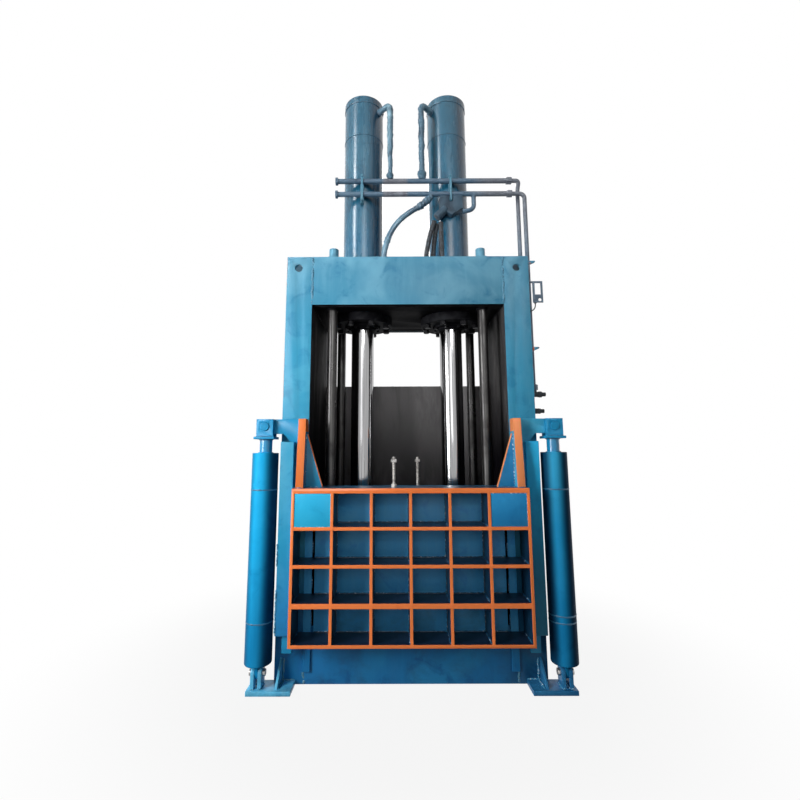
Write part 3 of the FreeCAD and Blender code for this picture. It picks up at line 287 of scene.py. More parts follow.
def makeGrime():
    # dust and oily dirt: more towards the floor and in blotches
    tree, w, takes, gives = newGroup(
        "grime", {"Place": "Vector", "Amount": "Float"}, {"Share": "Float"})
    low = w.smooth(w.parts(takes["Place"])[2], 0.02, 0.9, 1.0, 0.15)
    blotch = w.smooth(w.noise(takes["Place"], 5.0, 6.0, 0.65, 0.4), 0.42, 0.72)
    w.feed(gives["Share"], w.product(low, blotch, takes["Amount"]))
    return tree


brushedCoat, slantMask, grime = makeBrushedCoat(), makeSlantMask(), makeGrime()


class Paint(Wiring):
    # one material and its shader tree

    def __init__(self, name, roughness=0.5, metallic=0.0, specular=0.5, coat=0.0, coatRoughness=0.2):
        self.material = bpy.data.materials.new(name)
        self.material.use_nodes = True
        super().__init__(self.material.node_tree)
        self.sockets = self.tree.nodes["Principled BSDF"].inputs
        for socket, value in {"Roughness": roughness, "Metallic": metallic, "Specular IOR Level": specular,
                              "Coat Weight": coat, "Coat Roughness": coatRoughness}.items():
            self.set(socket, value)
        self.place = self.node("ShaderNodeTexCoord").outputs["Object"]

    def set(self, name, source):
        self.feed(self.sockets[name], source)

    def bump(self, height, strength, distance):
        made = self.node("ShaderNodeBump", {"Strength": strength, "Distance": distance, "Height": height})
        self.set("Normal", made.outputs["Normal"])

    def coat(self, name):
        main, pale, deep, patchy = coats[name]
        return self.group(brushedCoat, Place=self.place, Main=main, Pale=pale, Deep=deep, Patchy=patchy)

    def wear(self):
        return self.smooth(self.noise(self.place, 16.0, 5.0, 0.65, 0.3), 0.56, 0.76)

    def layOn(self, coat, colour, gloss=None, relief=0.35, depth=0.0010):
        # the colour, the relief of the brush strokes, and a roughness that follows them
        self.set("Base Color", colour)
        if gloss:
            self.set("Roughness", self.smooth(coat["Stroke"], 0.3, 0.7, *gloss))
        self.bump(coat["Height"], relief, depth)


# Where a tone below changes with the place on the part, left to right or top to bottom, it follows the light
# and dark of the picture; whether the real machine has other paint there isn't known.

coats = {
    # main, pale and deep colour, how patchy
    "frame": ((0.020, 0.290, 0.480), (0.060, 0.350, 0.530), (0.010, 0.210, 0.390), 0.75),
    "frameTop": ((0.060, 0.230, 0.350), (0.130, 0.340, 0.470), (0.030, 0.170, 0.290), 0.9),
    "frameLow": ((0.012, 0.190, 0.460), (0.024, 0.260, 0.540), (0.006, 0.120, 0.330), 0.85),
    "gate": ((0.012, 0.290, 0.540), (0.028, 0.350, 0.600), (0.006, 0.190, 0.410), 0.5),
    "press": ((0.013, 0.104, 0.178), (0.045, 0.150, 0.225), (0.008, 0.060, 0.112), 0.75),
    "pressLow": ((0.009, 0.105, 0.208), (0.028, 0.148, 0.250), (0.005, 0.056, 0.125), 0.75),
    "pressShade": ((0.008, 0.036, 0.078), (0.016, 0.056, 0.105), (0.004, 0.022, 0.052), 0.75),
    # painted light and shade: liftLeft is the lit and liftRight the shaded copy of one blue
    "liftLeft": ((0.014, 0.400, 0.760), (0.024, 0.460, 0.830), (0.008, 0.280, 0.600), 0.55),
    "liftRight": ((0.014, 0.290, 0.580), (0.026, 0.350, 0.660), (0.006, 0.190, 0.430), 0.55),
    "liftEnds": ((0.007, 0.190, 0.430), (0.014, 0.260, 0.530), (0.004, 0.110, 0.290), 0.6),
    "liftShade": ((0.003, 0.034, 0.084), (0.006, 0.052, 0.120), (0.002, 0.020, 0.052), 0.6),
    "gateLeft": ((0.010, 0.245, 0.460), (0.022, 0.300, 0.520), (0.006, 0.170, 0.360), 0.5),
    "gateWorn": ((0.052, 0.400, 0.620), (0.090, 0.460, 0.690), (0.022, 0.290, 0.510), 0.6),
    "gussetRight": ((0.018, 0.200, 0.420), (0.050, 0.300, 0.540), (0.008, 0.120, 0.300), 0.7),
    "plateLeft": ((0.020, 0.450, 0.760), (0.040, 0.520, 0.820), (0.010, 0.330, 0.620), 0.5),
    "plateRight": ((0.012, 0.235, 0.530), (0.030, 0.330, 0.660), (0.006, 0.180, 0.450), 0.6),
    "railRight": ((0.024, 0.500, 0.880), (0.044, 0.560, 0.920), (0.014, 0.360, 0.740), 0.6),
    "railLow": ((0.018, 0.190, 0.320), (0.034, 0.250, 0.390), (0.010, 0.130, 0.240), 0.7),
    "clamp": ((0.070, 0.210, 0.300), (0.130, 0.310, 0.400), (0.025, 0.100, 0.160), 0.8),
    "tape": ((0.052, 0.130, 0.195), (0.220, 0.380, 0.470), (0.014, 0.044, 0.078), 1.0),
    "cellWall": ((0.003, 0.018, 0.044), (0.006, 0.034, 0.078), (0.002, 0.008, 0.020), 0.9),
    "footLeft": ((0.120, 0.560, 0.860), (0.360, 0.760, 0.940), (0.030, 0.330, 0.640), 0.9),
    "footRight": ((0.014, 0.160, 0.370), (0.040, 0.240, 0.470), (0.006, 0.090, 0.260), 0.8),
    "sheet": ((0.080, 0.500, 0.970), (0.130, 0.580, 0.980), (0.045, 0.360, 0.860), 0.7),
    "lift": ((0.009, 0.270, 0.520), (0.020, 0.350, 0.610), (0.004, 0.160, 0.370), 0.55),
    "pipe": ((0.060, 0.115, 0.175), (0.110, 0.185, 0.255), (0.030, 0.065, 0.110), 0.8),
    "pipeGrey": ((0.140, 0.150, 0.175), (0.230, 0.240, 0.270), (0.070, 0.075, 0.095), 0.8),
    "valve": ((0.042, 0.082, 0.120), (0.100, 0.165, 0.220), (0.014, 0.030, 0.050), 1.0),
    "hoseBlue": ((0.034, 0.092, 0.150), (0.150, 0.290, 0.390), (0.010, 0.036, 0.068), 1.0),
}
chamberDark, chamberPale = (0.026, 0.025, 0.026), (0.090, 0.087, 0.087)
orange, orangeDeep, orangeTop = (1.0, 0.250, 0.066), (0.740, 0.110, 0.026), (0.760, 0.160, 0.026)
bracketLook = {
    # the blues of its upper part and of its gusset, how much of the worn orange is deep, and the orange; left
    # and right differ as painted shade and painted light
    "left": ("gateLeft", "gateLeft", 0.45, (0.790, 0.195, 0.042)),
    "right": ("gateWorn", "gussetRight", 0.2, (1.0, 0.330, 0.120)),
}


def makeFramePaint():
    # painted shade: deep blue near the floor, and greyer and darker towards the right; greyer towards the top
    w = Paint("framePaint", 0.42, specular=0.2, coat=0.05, coatRoughness=0.25)
    coat = w.coat("frame")
    x, _, z = w.parts(w.place)
    fade = w.math("ADD", w.smooth(z, 1.60, 2.55), w.product(w.smooth(x, -0.4, 0.8), 0.35), clamp=True)
    colour = w.blend(fade, coat["Colour"], w.coat("frameTop")["Colour"])
    colour = w.blend(w.smooth(z, 0.26, 0.80, 1.0, 0.0), colour, w.coat("frameLow")["Colour"])
    share = w.group(grime, Place=w.place, Amount=0.35)["Share"]
    colour = w.blend(share, colour, (0.012, 0.030, 0.050))
    # painted shade: darker in the lower right-hand corner
    corner = w.product(w.smooth(x, 0.46, 0.64, 0.0, 0.60), w.smooth(z, 0.30, 0.95, 1.0, 0.0))
    colour = w.blend(corner, colour, (0.010, 0.040, 0.075))
    # a trace of red on the outer edges of the columns, higher up
    out = w.smooth(w.math("ABSOLUTE", x), 0.7478, 0.7492)
    spots = w.smooth(w.noise(w.scaled(w.place, (30.0, 30.0, 7.0)), 1.0, 4.0, 0.7), 0.50, 0.60)
    colour = w.blend(w.product(out, spots, w.smooth(z, 1.2, 1.7)), colour, (0.42, 0.10, 0.035))
    w.layOn(coat, colour, (0.34, 0.50), 0.5, 0.0012)
    return w.material


def makeChamberSteelAndShade():
    # the nearly black, scuffed faces that look into the chamber, with painted shade and painted light on them
    w = Paint("chamberSteel", 0.62, specular=0.01)
    _, y, z = w.parts(w.place)
    dirt = w.noise(w.scaled(w.place, (9.0, 9.0, 2.0)), 1.0, 6.0, 0.65, 0.4)
    scuffs = w.noise(w.scaled(w.place, (40.0, 40.0, 3.0)), 1.0, 4.0, 0.7)
    dark = w.blend(w.smooth(dirt, 0.42, 0.75), chamberDark, chamberPale)
    dark = w.blend(w.product(w.smooth(scuffs, 0.58, 0.72), 0.3), dark, (0.11, 0.10, 0.10))
    # painted shade: nearly black low down and on the faces that look down under the beam
    dark = w.blend(w.smooth(z, 1.15, 1.65, 0.94, 0.0), dark, (0.0015, 0.0012, 0.0025))
    dark = w.blend(w.product(w.smooth(w.upward(), -0.5, -0.9), 0.85), dark, (0.004, 0.0035, 0.005))
    # painted light: the wall at the back is paler, the more so higher up
    backWallLight = w.blend(w.smooth(z, 1.0, 1.7), (0.050, 0.048, 0.050), (0.235, 0.228, 0.230))
    backWallLight = w.blend(w.product(w.smooth(dirt, 0.40, 0.70), 0.7), backWallLight, (0.120, 0.116, 0.118))
    w.set("Base Color", w.blend(w.smooth(y, 0.27, 0.30), dark, backWallLight))
    w.bump(dirt, 0.5, 0.002)
    return w.material


def makeGatePaint():
    # blue, with the front edges of the ribs brushed orange
    w = Paint("gatePaint", 0.36, specular=0.25, coat=0.05, coatRoughness=0.2)
    coat = w.coat("gate")
    edge = w.group(slantMask, Place=w.place, Foot=(0, gateFront + 0.0035, 0), Normal=(0, -1, 0),
                   Ragged=0.004)["Mask"]
    # painted shade: more of the orange is deep towards the left, and along the top rib it is deeper except at
    # the right-hand end
    x, _, z = w.parts(w.place)
    wornAndShaded = w.wear()
    band = w.blend(w.product(wornAndShaded, w.smooth(x, -0.5, 0.3, 0.55, 0.08)), orange, orangeDeep)
    topRib = w.smooth(z, gateTop - 0.030, gateTop - 0.014)
    band = w.blend(w.product(topRib, w.smooth(x, 0.60, 0.10)), band, orangeTop)
    # painted shade: the tops of the shelves are darker, under the cells above them
    shelfShadeSpread = w.smooth(w.noise(w.place, 12.0, 5.0, 0.6), 0.30, 0.60, 0.70, 0.95)
    shelfShade = w.product(w.smooth(w.upward(), 0.7, 0.95), shelfShadeSpread)
    # painted shade: inside the cells the blue is nearly black
    inside = w.product(w.smooth(w.math("ABSOLUTE", x), 0.6396, 0.6384),
                       w.smooth(z, gateTop - 0.0004, gateTop - 0.0016))
    colour = w.blend(inside, coat["Colour"], w.coat("cellWall")["Colour"])
    colour = w.blend(shelfShade, colour, (0.010, 0.022, 0.050))
    w.layOn(coat, w.blend(edge, colour, band), relief=0.4)
    return w.material


def makeBracketPaint(word):
    # as the gate, on the leaning front of the bracket and the slanted edge of its gusset
    side, (upperBlue, gussetBlue, wear, sideOrange) = sides[word], bracketLook[word]
    w = Paint("bracketPaint" + word.capitalize(), 0.36, specular=0.25, coat=0.05)
    coat = w.coat(upperBlue)
    aside = w.smooth(w.math("ABSOLUTE", w.parts(w.place)[0]), 0.5815, 0.5835)
    blue = w.blend(aside, w.coat(gussetBlue)["Colour"], coat["Colour"])
    low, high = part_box("lift_bracket_" + word)
    lean = math.atan2(0.040, high[2] - low[2])
    base, tip, rise = 0.485 * side, 0.575 * side, 0.295
    slope = Vector((rise * -side, 0, abs(tip - base))).normalized()
    front, slanted = (w.group(slantMask, Place=w.place, Foot=foot, Normal=normal, Ragged=0.003)["Mask"]
                      for foot, normal in (((0, low[1] + 0.004, low[2]), (0, -math.cos(lean), math.sin(lean))),
                                           ((base + 0.004 * side, 0, low[2]), tuple(slope))))
    wornAndShaded = w.wear()
    band = w.blend(w.product(wornAndShaded, wear), sideOrange, orangeDeep)
    w.layOn(coat, w.blend(w.math("MAXIMUM", front, slanted), blue, band), relief=0.4)
    return w.material


def makePlainCoat(name, coatName, roughness, specular, coatWeight=0.0):
    w = Paint(name, roughness, specular=specular, coat=coatWeight)
    coat = w.coat(coatName)
    share = w.group(grime, Place=w.place, Amount=0.4)["Share"]
    w.layOn(coat, w.blend(share, coat["Colour"], (0.010, 0.040, 0.070)), (roughness - 0.06, roughness + 0.08))
    return w.material


def makeTwoCoats(name, roughness, specular, first, second, axis, start, end):
    # one coat gives way to another between two places along an axis
    w = Paint(name, roughness, specular=specular)
    coat = w.coat(first)
    share = w.smooth(w.parts(w.place)[axis], start, end)
    w.layOn(coat, w.blend(share, coat["Colour"], w.coat(second)["Colour"]))
    return w.material


def makePressPaint():
    # slate grey, bluer towards the bottom; the film is glossier than on the frame
    w = Paint("pressPaint", 0.24, specular=0.60)
    coat = w.coat("press")
    x, _, z = w.parts(w.place)
    colour = w.blend(w.smooth(z, 2.45, 2.95, 1.0, 0.0), coat["Colour"], w.coat("pressLow")["Colour"])
    # painted shade: each tube is darker on its right-hand half
    aside = w.product(w.math("SUBTRACT", w.math("ABSOLUTE", x), pressAxis), w.math("SIGN", x))
    colour = w.blend(w.smooth(aside, 0.028, 0.090, 0.0, 0.75), colour, w.coat("pressShade")["Colour"])
    w.layOn(coat, colour, (0.17, 0.31))
    return w.material


def makeLiftPaint(word):
    # darker towards the foot, and below the ring weld at once
    w = Paint("liftPaint" + word.capitalize(), 0.38, specular=0.03)
    coat = w.coat("lift" + word.capitalize())
    x, _, z = w.parts(w.place)
    share = w.math("MAXIMUM", w.smooth(z, 0.350, 0.360, 0.75, 0.0), w.smooth(z, 0.36, 0.80, 0.55, 0.0))
    colour = w.blend(share, coat["Colour"], w.coat("liftEnds")["Colour"])
    # the right-hand tube grows paler towards its top
    if word == "right":
        colour = w.blend(w.smooth(z, 0.75, 1.20, 0.0, 0.5), colour, (0.070, 0.500, 0.760))
    # painted shade down both sides of the tube, as far from its axis as given here
    aside = w.math("SUBTRACT", x, liftX * sides[word])
    toRight, toLeft = {"left": ((0.003, 0.062, 0.0, 0.95), (-0.026, -0.062, 0.0, 0.55)),
                       "right": ((-0.018, 0.038, 0.0, 0.95), (-0.028, -0.062, 0.0, 0.95))}[word]
    shade = w.math("ADD", w.smooth(aside, *toRight), w.smooth(aside, *toLeft))
    w.layOn(coat, w.blend(shade, colour, w.coat("liftShade")["Colour"]), (0.32, 0.46))
    return w.material


def makePipePaint():
    # slate blue, greyer on the right and on the upper header between the tubes
    w = Paint("pipePaint", 0.42, specular=0.4)
    coat = w.coat("pipe")
    x, _, z = w.parts(w.place)
    share = w.product(w.smooth(x, 0.42, 0.56), w.smooth(z, 2.40, 2.95, 0.25, 0.85))
    between = w.smooth(w.math("ABSOLUTE", w.math("ADD", x, 0.075)), 0.070, 0.095, 0.9, 0.0)
    share = w.math("MAXIMUM", share, w.product(between, w.smooth(z, 2.94, 2.96)))
    colour = w.blend(share, coat["Colour"], w.coat("pipeGrey")["Colour"])
    w.layOn(coat, colour, (0.34, 0.50))
    return w.material


def makeChrome():
    # chrome with upright streaks, some brighter and some duller, and fine scratches
    w = Paint("chromeRod", 0.08, metallic=1.0)
    streaks = w.noise(w.scaled(w.place, (160.0, 160.0, 1.6)), 1.0, 3.0, 0.6)
    fine = w.noise(w.scaled(w.place, (900.0, 900.0, 6.0)), 1.0, 2.0, 0.5)
    w.set("Base Color", w.blend(w.smooth(streaks, 0.35, 0.7), (0.44, 0.44, 0.445), (0.24, 0.24, 0.245)))
    w.set("Roughness", w.smooth(streaks, 0.3, 0.75, 0.05, 0.20))
    w.bump(fine, 0.08, 0.0003)
    return w.material


def makeDarkSteel():
    # the dark steel of the guide rods and the platen, streaked and blotchy
    w = Paint("oiledSteel", 0.34, metallic=0.85)
    streaks = w.noise(w.scaled(w.place, (70.0, 70.0, 1.2)), 1.0, 4.0, 0.6)
    blotch = w.noise(w.place, 6.0, 5.0, 0.6, 0.5)
    colour = w.blend(w.smooth(streaks, 0.35, 0.7), (0.030, 0.029, 0.030), (0.090, 0.088, 0.086))
    w.set("Base Color", w.blend(w.smooth(blotch, 0.45, 0.75), colour, (0.022, 0.021, 0.021)))
    w.set("Roughness", w.smooth(blotch, 0.3, 0.7, 0.26, 0.46))
    w.bump(streaks, 0.15, 0.0005)
    return w.material


def makeMottled(name, noise, start, end, first, second, gloss=None, bump=None, **look):
    # one colour in patches over another: noise is its scale, detail, roughness and warp
    w = Paint(name, **look)
    blotch = w.noise(w.place, *noise)
    w.set("Base Color", w.blend(w.smooth(blotch, start, end), first, second))
    if gloss:
        w.set("Roughness", w.smooth(blotch, 0.3, 0.7, *gloss))
    if bump:
        w.bump(blotch, *bump)
    return w.material


def makeWeldPaint(name, main, pale, glints, roughness=0.24):
    # the paint on a weld: shiny, with pale spots here and there that are painted glints, the more the larger
    # glints is
    w = Paint(name, roughness, specular=0.6)
    spots = w.smooth(w.noise(w.place, 85.0, 4.0, 0.65, 0.4), 0.62 - glints, 0.74 - glints)
    w.set("Base Color", w.blend(spots, main, pale))
    w.bump(w.noise(w.place, 180.0, 3.0, 0.6), 0.4, 0.001)
    return w.material


finishes = {
    "frame": makeFramePaint(), "chamber": makeChamberSteelAndShade(), "gate": makeGatePaint(),
    "bracketLeft": makeBracketPaint("left"), "bracketRight": makeBracketPaint("right"),
    "press": makePressPaint(), "liftLeft": makeLiftPaint("left"), "liftRight": makeLiftPaint("right"),
    "pipe": makePipePaint(), "lift": makePlainCoat("clevisPaint", "lift", 0.38, 0.28),
    "clamp": makePlainCoat("clampPaint", "clamp", 0.40, 0.4),
    # painted light and shade: the right-hand rail in a brighter blue higher up and darker towards the floor
    "railRight": makeTwoCoats("rightRailPaint", 0.42, 0.2, "railLow", "railRight", 2, 0.50, 1.20),
    # painted light and shade: the left foot is painted lit and pale, the right one shaded and dark
    "footLeft": makePlainCoat("leftFootPaint", "footLeft", 0.34, 0.4),
    "footRight": makePlainCoat("rightFootPaint", "footRight", 0.40, 0.2),
    "valve": makePlainCoat("valvePaint", "valve", 0.46, 0.25),
    "chrome": makeChrome(), "oiled": makeDarkSteel(),
    "black": makeMottled("blackPaint", (14.0, 5.0, 0.6, 0.5), 0.4, 0.75, (0.008, 0.008, 0.010),
                         (0.026, 0.027, 0.030), bump=(0.3, 0.0015), roughness=0.55, specular=0.02),
    "zinc": makeMottled("zincSteel", (60.0, 4.0, 0.6), 0.4, 0.7, (0.55, 0.54, 0.52), (0.30, 0.28, 0.27),
                        gloss=(0.25, 0.45), roughness=0.32, metallic=0.9),
    "hose": makeMottled("blackHose", (45.0, 5.0, 0.6, 0.8), 0.4, 0.7, (0.010, 0.011, 0.014),
                        (0.045, 0.060, 0.075), bump=(0.7, 0.004), roughness=0.55, specular=0.4),
    "darkBolt": makeMottled("darkBolt", (45.0, 4.0, 0.6), 0.64, 0.78, (0.012, 0.012, 0.014), (0.20, 0.20, 0.22),
                            roughness=0.45, specular=0.10),
    # painted light and shade: the left corner plate takes a lighter blue and the right one a darker, one paint
    # lit and shaded
    "plate": makeTwoCoats("cornerPlatePaint", 0.36, 0.25, "plateLeft", "plateRight", 0, -0.1, 0.1),
    # painted shade: the wear strips take the frame's darker blue near the floor below the gate's foot, and the
    # sheet's blue above
    "strip": makeTwoCoats("wearStripPaint", 0.40, 0.2, "frameLow", "sheet", 2, 0.245, 0.275),
    "sheet": makePlainCoat("gateSheetPaint", "sheet", 0.4, 0.3, 0.1),
    "tape": makePlainCoat("tapedPipe", "tape", 0.42, 0.5),
    "hosePaint": makePlainCoat("hosePaint", "hoseBlue", 0.28, 0.6),
    "liftRod": makePlainCoat("liftRodPaint", "lift", 0.25, 0.5, 0.3),
    "bright": makeWeldPaint("brightWeld", (0.340, 0.600, 0.740), (0.880, 0.940, 0.970), 0.18, 0.30),
    "weld": makeWeldPaint("weldPaint", (0.030, 0.240, 0.380), (0.32, 0.50, 0.60), 0.02),
    "seam": makeWeldPaint("seamPaint", (0.045, 0.200, 0.310), (0.24, 0.42, 0.52), -0.02, 0.35),
    "bareWeld": makeWeldPaint("rubbedWeldAndGlints", (0.080, 0.330, 0.480), (0.55, 0.68, 0.74), 0.10, 0.35),
    "gateWeld": makeWeldPaint("gateWeldPaint", (0.020, 0.130, 0.260), (0.66, 0.80, 0.90), 0.07),
    "glint": makeWeldPaint("paintedGlintGateWeld", (0.060, 0.300, 0.480), (0.62, 0.74, 0.80), 0.10),
    "liftWeld": makeWeldPaint("liftWeldPaint", (0.010, 0.130, 0.250), (0.18, 0.36, 0.48), -0.03, 0.4),
    "pressWeld": makeWeldPaint("pressWeldPaint", (0.020, 0.090, 0.150), (0.14, 0.26, 0.34), 0.0),
}
print("finishes mixed:", len(finishes))


def addPiece(name, mesh, finish, like, replaced=()):
    # a new piece moves with the CAD node that it belongs to, and takes the finish that it is given
    mesh.materials.append(finishes[finish])
    piece = bpy.data.objects.new(name, mesh)
    bpy.context.scene.collection.objects.link(piece)
    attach(piece, body_of(nodes[like])[0])
    if replaced:
        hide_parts(*replaced)
    return piece


def gridFaces(rows, columns, closedRows, closedColumns, first):
    # the four-cornered faces between neighbouring points of a grid, which may close on itself either way
    row = np.arange(rows if closedRows else rows - 1)
    column = np.arange(columns if closedColumns else columns - 1)
    a, b = np.meshgrid(row, column, indexing="ij")
    below, beside = (a + 1) % rows, (b + 1) % columns
    corners = [a * columns + b, a * columns + beside, below * columns + beside, below * columns + b]
    return first + np.stack(corners, -1).reshape(-1, 4)


def meshFrom(name, patches, sharpAngle=40):
    # one mesh from several grids of points, each given with the ways it closes
    corners, faces, first = [], [], 0
    for points, closedRows, closedColumns in patches:
        rows, columns = points.shape[:2]
        corners.append(points.reshape(-1, 3))
        faces.append(gridFaces(rows, columns, closedRows, closedColumns, first))
        first += rows * columns
    corners, faces = np.concatenate(corners), np.concatenate(faces)
    mesh = bpy.data.meshes.new(name)
    mesh.vertices.add(len(corners))
    mesh.vertices.foreach_set("co", corners.ravel())
    mesh.loops.add(faces.size)
    mesh.loops.foreach_set("vertex_index", faces.ravel())
    mesh.polygons.add(len(faces))
    mesh.polygons.foreach_set("loop_start", np.arange(0, faces.size, 4))
    mesh.update(calc_edges=True)
    shape = bmesh.new()
    shape.from_mesh(mesh)
    bmesh.ops.remove_doubles(shape, verts=shape.verts, dist=1e-6)
    bmesh.ops.recalc_face_normals(shape, faces=shape.faces)
    shape.to_mesh(mesh)
    shape.free()
    mesh.polygons.foreach_set("use_smooth", np.ones(len(mesh.polygons), bool))
    mesh.set_sharp_from_angle(angle=math.radians(sharpAngle))
    return mesh


def camel(nodeName):
    first, *others = nodeName.split("_")
    return first + "".join(word.capitalize() for word in others)


def addGrids(name, patches, finish, like, sharpAngle=180, even=False, replaced=()):
    mesh = meshFrom(camel(name), patches, sharpAngle)
    piece = addPiece(mesh.name, mesh, finish, like, replaced)
    if even:
        piece.modifiers.new("evenNormals", "WEIGHTED_NORMAL").keep_sharp = True
    return mesh


def remake(nodeName, patches, finish, sharpAngle=40, even=True):
    # a piece that takes the place of its CAD node
    return addGrids(nodeName, patches, finish, nodeName, sharpAngle, even, [nodeName])


def markFaces(mesh, finish, low, high):
    # faces whose middle is between two corners take another finish
    middles = np.empty((len(mesh.polygons), 3))
    mesh.polygons.foreach_get("center", middles.ravel())
    mesh.materials.append(finishes[finish])
    inside = np.all((middles > low) & (middles < high), axis=1)
    mesh.polygons.foreach_set("material_index", inside.astype(np.int32))


def markBelow(mesh, height, finish):
    markFaces(mesh, finish, (-np.inf, -np.inf, -np.inf), (np.inf, np.inf, height))


def markChamber(mesh):
    # the chamber: between the side walls and from just behind the front plates' faces
    beam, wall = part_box("crosshead"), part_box("side_wall_right")
    innerX, depth = wall[0][0] + 0.0008, -beam[0][1] - 0.0035
    markFaces(mesh, "chamber", (-innerX, -depth, -0.01), (innerX, depth, beam[0][2] + 0.0008))


def soften(nodeName, finish, width):
    # a copy of a CAD node with its edges broken
    shape = bmesh.new()
    shape.from_mesh(nodes[nodeName].data)
    bmesh.ops.remove_doubles(shape, verts=shape.verts, dist=1e-5)
    bmesh.ops.dissolve_limit(shape, angle_limit=math.radians(1.5), verts=shape.verts, edges=shape.edges)
    mesh = bpy.data.meshes.new(camel(nodeName))
    shape.to_mesh(mesh)
    shape.free()
    mesh.polygons.foreach_set("use_smooth", np.ones(len(mesh.polygons), bool))
    piece = addPiece(mesh.name, mesh, finish, nodeName, [nodeName])
    if finish == "frame":
        markChamber(mesh)
    bevel = piece.modifiers.new("brokenEdges", "BEVEL")
    bevel.width, bevel.segments, bevel.limit_method = width, 2, "ANGLE"
    bevel.angle_limit = math.radians(35)
    bevel.harden_normals = True


def eased(outline, reach, steps=4):
    # every corner B between A and C gives way to (1-t)^2 P + 2t(1-t) B + t^2 Q, P and Q being reach from B
    outline = np.array(outline, float)
    before, corner, after = outline[:-2], outline[1:-1], outline[2:]
    into, out = corner - before, after - corner
    lengthIn, lengthOut = np.linalg.norm(into, axis=1), np.linalg.norm(out, axis=1)
    cut = np.minimum(np.minimum(lengthIn, lengthOut) * 0.45, np.broadcast_to(reach, len(corner)))[:, None]
    start, end = corner - into / lengthIn[:, None] * cut, corner + out / lengthOut[:, None] * cut
    t = np.linspace(0, 1, steps + 1)[None, :, None]
    curves = (1 - t) ** 2 * start[:, None] + 2 * t * (1 - t) * corner[:, None] + t ** 2 * end[:, None]
    return np.concatenate([outline[:1], curves.reshape(-1, 2), outline[-1:]])


def carried(radius, along, axis, centre):
    # grids of points round an axis, r cos a one way and r sin a the other, at given distances along it
    angle = np.linspace(0, 2 * np.pi, radius.shape[1], endpoint=False)
    rings = np.empty((*radius.shape, 3))
    rings[..., axis] = along
    rings[..., (axis + 1) % 3] = radius * np.cos(angle)
    rings[..., (axis + 2) % 3] = radius * np.sin(angle)
    return rings + np.asarray(centre, float), False, True


def turned(profile, centre, axis=2, segments=96):
    # a profile of (radius, distance along the axis) carried round it
    radius, along = np.array(profile, float).T[..., None]
    return carried(np.tile(radius, segments), along, axis, centre)


def swept(path, radius, count=24, reference=None, closed=False, flatten=(1, 1, 1)):
    # rings set square to a path; radius may be one number, one per ring, or one per point
    path = np.asarray(path, float)
    if closed:
        ahead = np.roll(path, -1, 0) - np.roll(path, 1, 0)
    else:
        ahead = np.gradient(path, axis=0)
    ahead /= np.linalg.norm(ahead, axis=1)[:, None]
    if reference is None:
        reference = np.eye(3)[np.argmin(np.abs(ahead).max(axis=0))]
    reference = np.asarray(reference, float)
    side = reference - (ahead @ reference)[:, None] * ahead
    side /= np.linalg.norm(side, axis=1)[:, None]
    other = np.cross(ahead, side)
    angle = np.linspace(0, 2 * np.pi, count, endpoint=False)
    radius = np.asarray(radius, float)
    radius = np.broadcast_to(radius[:, None] if radius.ndim == 1 else radius, (len(path), count))
    ring = np.cos(angle)[:, None] * side[:, None] + np.sin(angle)[:, None] * other[:, None]
    points = path[:, None] + radius[..., None] * ring * np.asarray(flatten, float)
    return points, closed, True


def closedEnds(patch, start=True, end=True):
    # the same grid with its end rings drawn in to their middles
    points, closedRows, closedColumns = patch
    rows = [points]
    if start:
        rows.insert(0, np.broadcast_to(points[:1].mean(axis=1, keepdims=True), points[:1].shape))
    if end:
        rows.append(np.broadcast_to(points[-1:].mean(axis=1, keepdims=True), points[-1:].shape))
    return np.concatenate(rows), closedRows, closedColumns


def straight(start, end, step=0.01):
    start, end = np.asarray(start, float), np.asarray(end, float)
    count = max(int(np.linalg.norm(end - start) / step), 2)
    return start + np.linspace(0, 1, count + 1)[:, None] * (end - start)


def route(points, share=0.45, step=0.012):
    # straight runs joined by arcs that touch both: centre + (sin((1-t)w) a + sin(tw) b) / sin w
    points = [np.asarray(point, float) for point in points]
    pieces, start = [], points[0]
    for before, corner, after in zip(points, points[1:], points[2:]):
        into, out = corner - before, after - corner
        lengthIn, lengthOut = np.linalg.norm(into), np.linalg.norm(out)
        into, out = into / lengthIn, out / lengthOut
        bend = math.acos(float(np.clip(into @ out, -1, 1)))
        reach = share * min(lengthIn, lengthOut)
        first, last = corner - into * reach, corner + out * reach
        radius = reach / math.tan(bend / 2)
        middle = corner + (out - into) / np.linalg.norm(out - into) * radius / math.cos(bend / 2)
        steps = max(int(radius * bend / step), 4)
        t = np.linspace(0, 1, steps + 1)[:, None]
        arc = middle + (np.sin((1 - t) * bend) * (first - middle)
                        + np.sin(t * bend) * (last - middle)) / math.sin(bend)
        pieces += [straight(start, first, step)[:-1], arc[:-1]]
        start = last
    return np.concatenate(pieces + [straight(start, points[-1], step)])


def wander(along, seed, shortest, longest, count=6):
    # a smooth random line between -1 and 1: a sum of sine waves of seeded lengths and starts
    chance = np.random.default_rng(seed)
    waves = np.exp(chance.uniform(math.log(shortest), math.log(longest), count))
    starts = chance.uniform(0, 2 * np.pi, count)
    return np.sin(2 * np.pi * along[:, None] / waves + starts).sum(axis=1) / math.sqrt(count) / 1.6


def lengthAlong(path):
    return np.concatenate([[0], np.cumsum(np.linalg.norm(np.diff(path, axis=0), axis=1))])


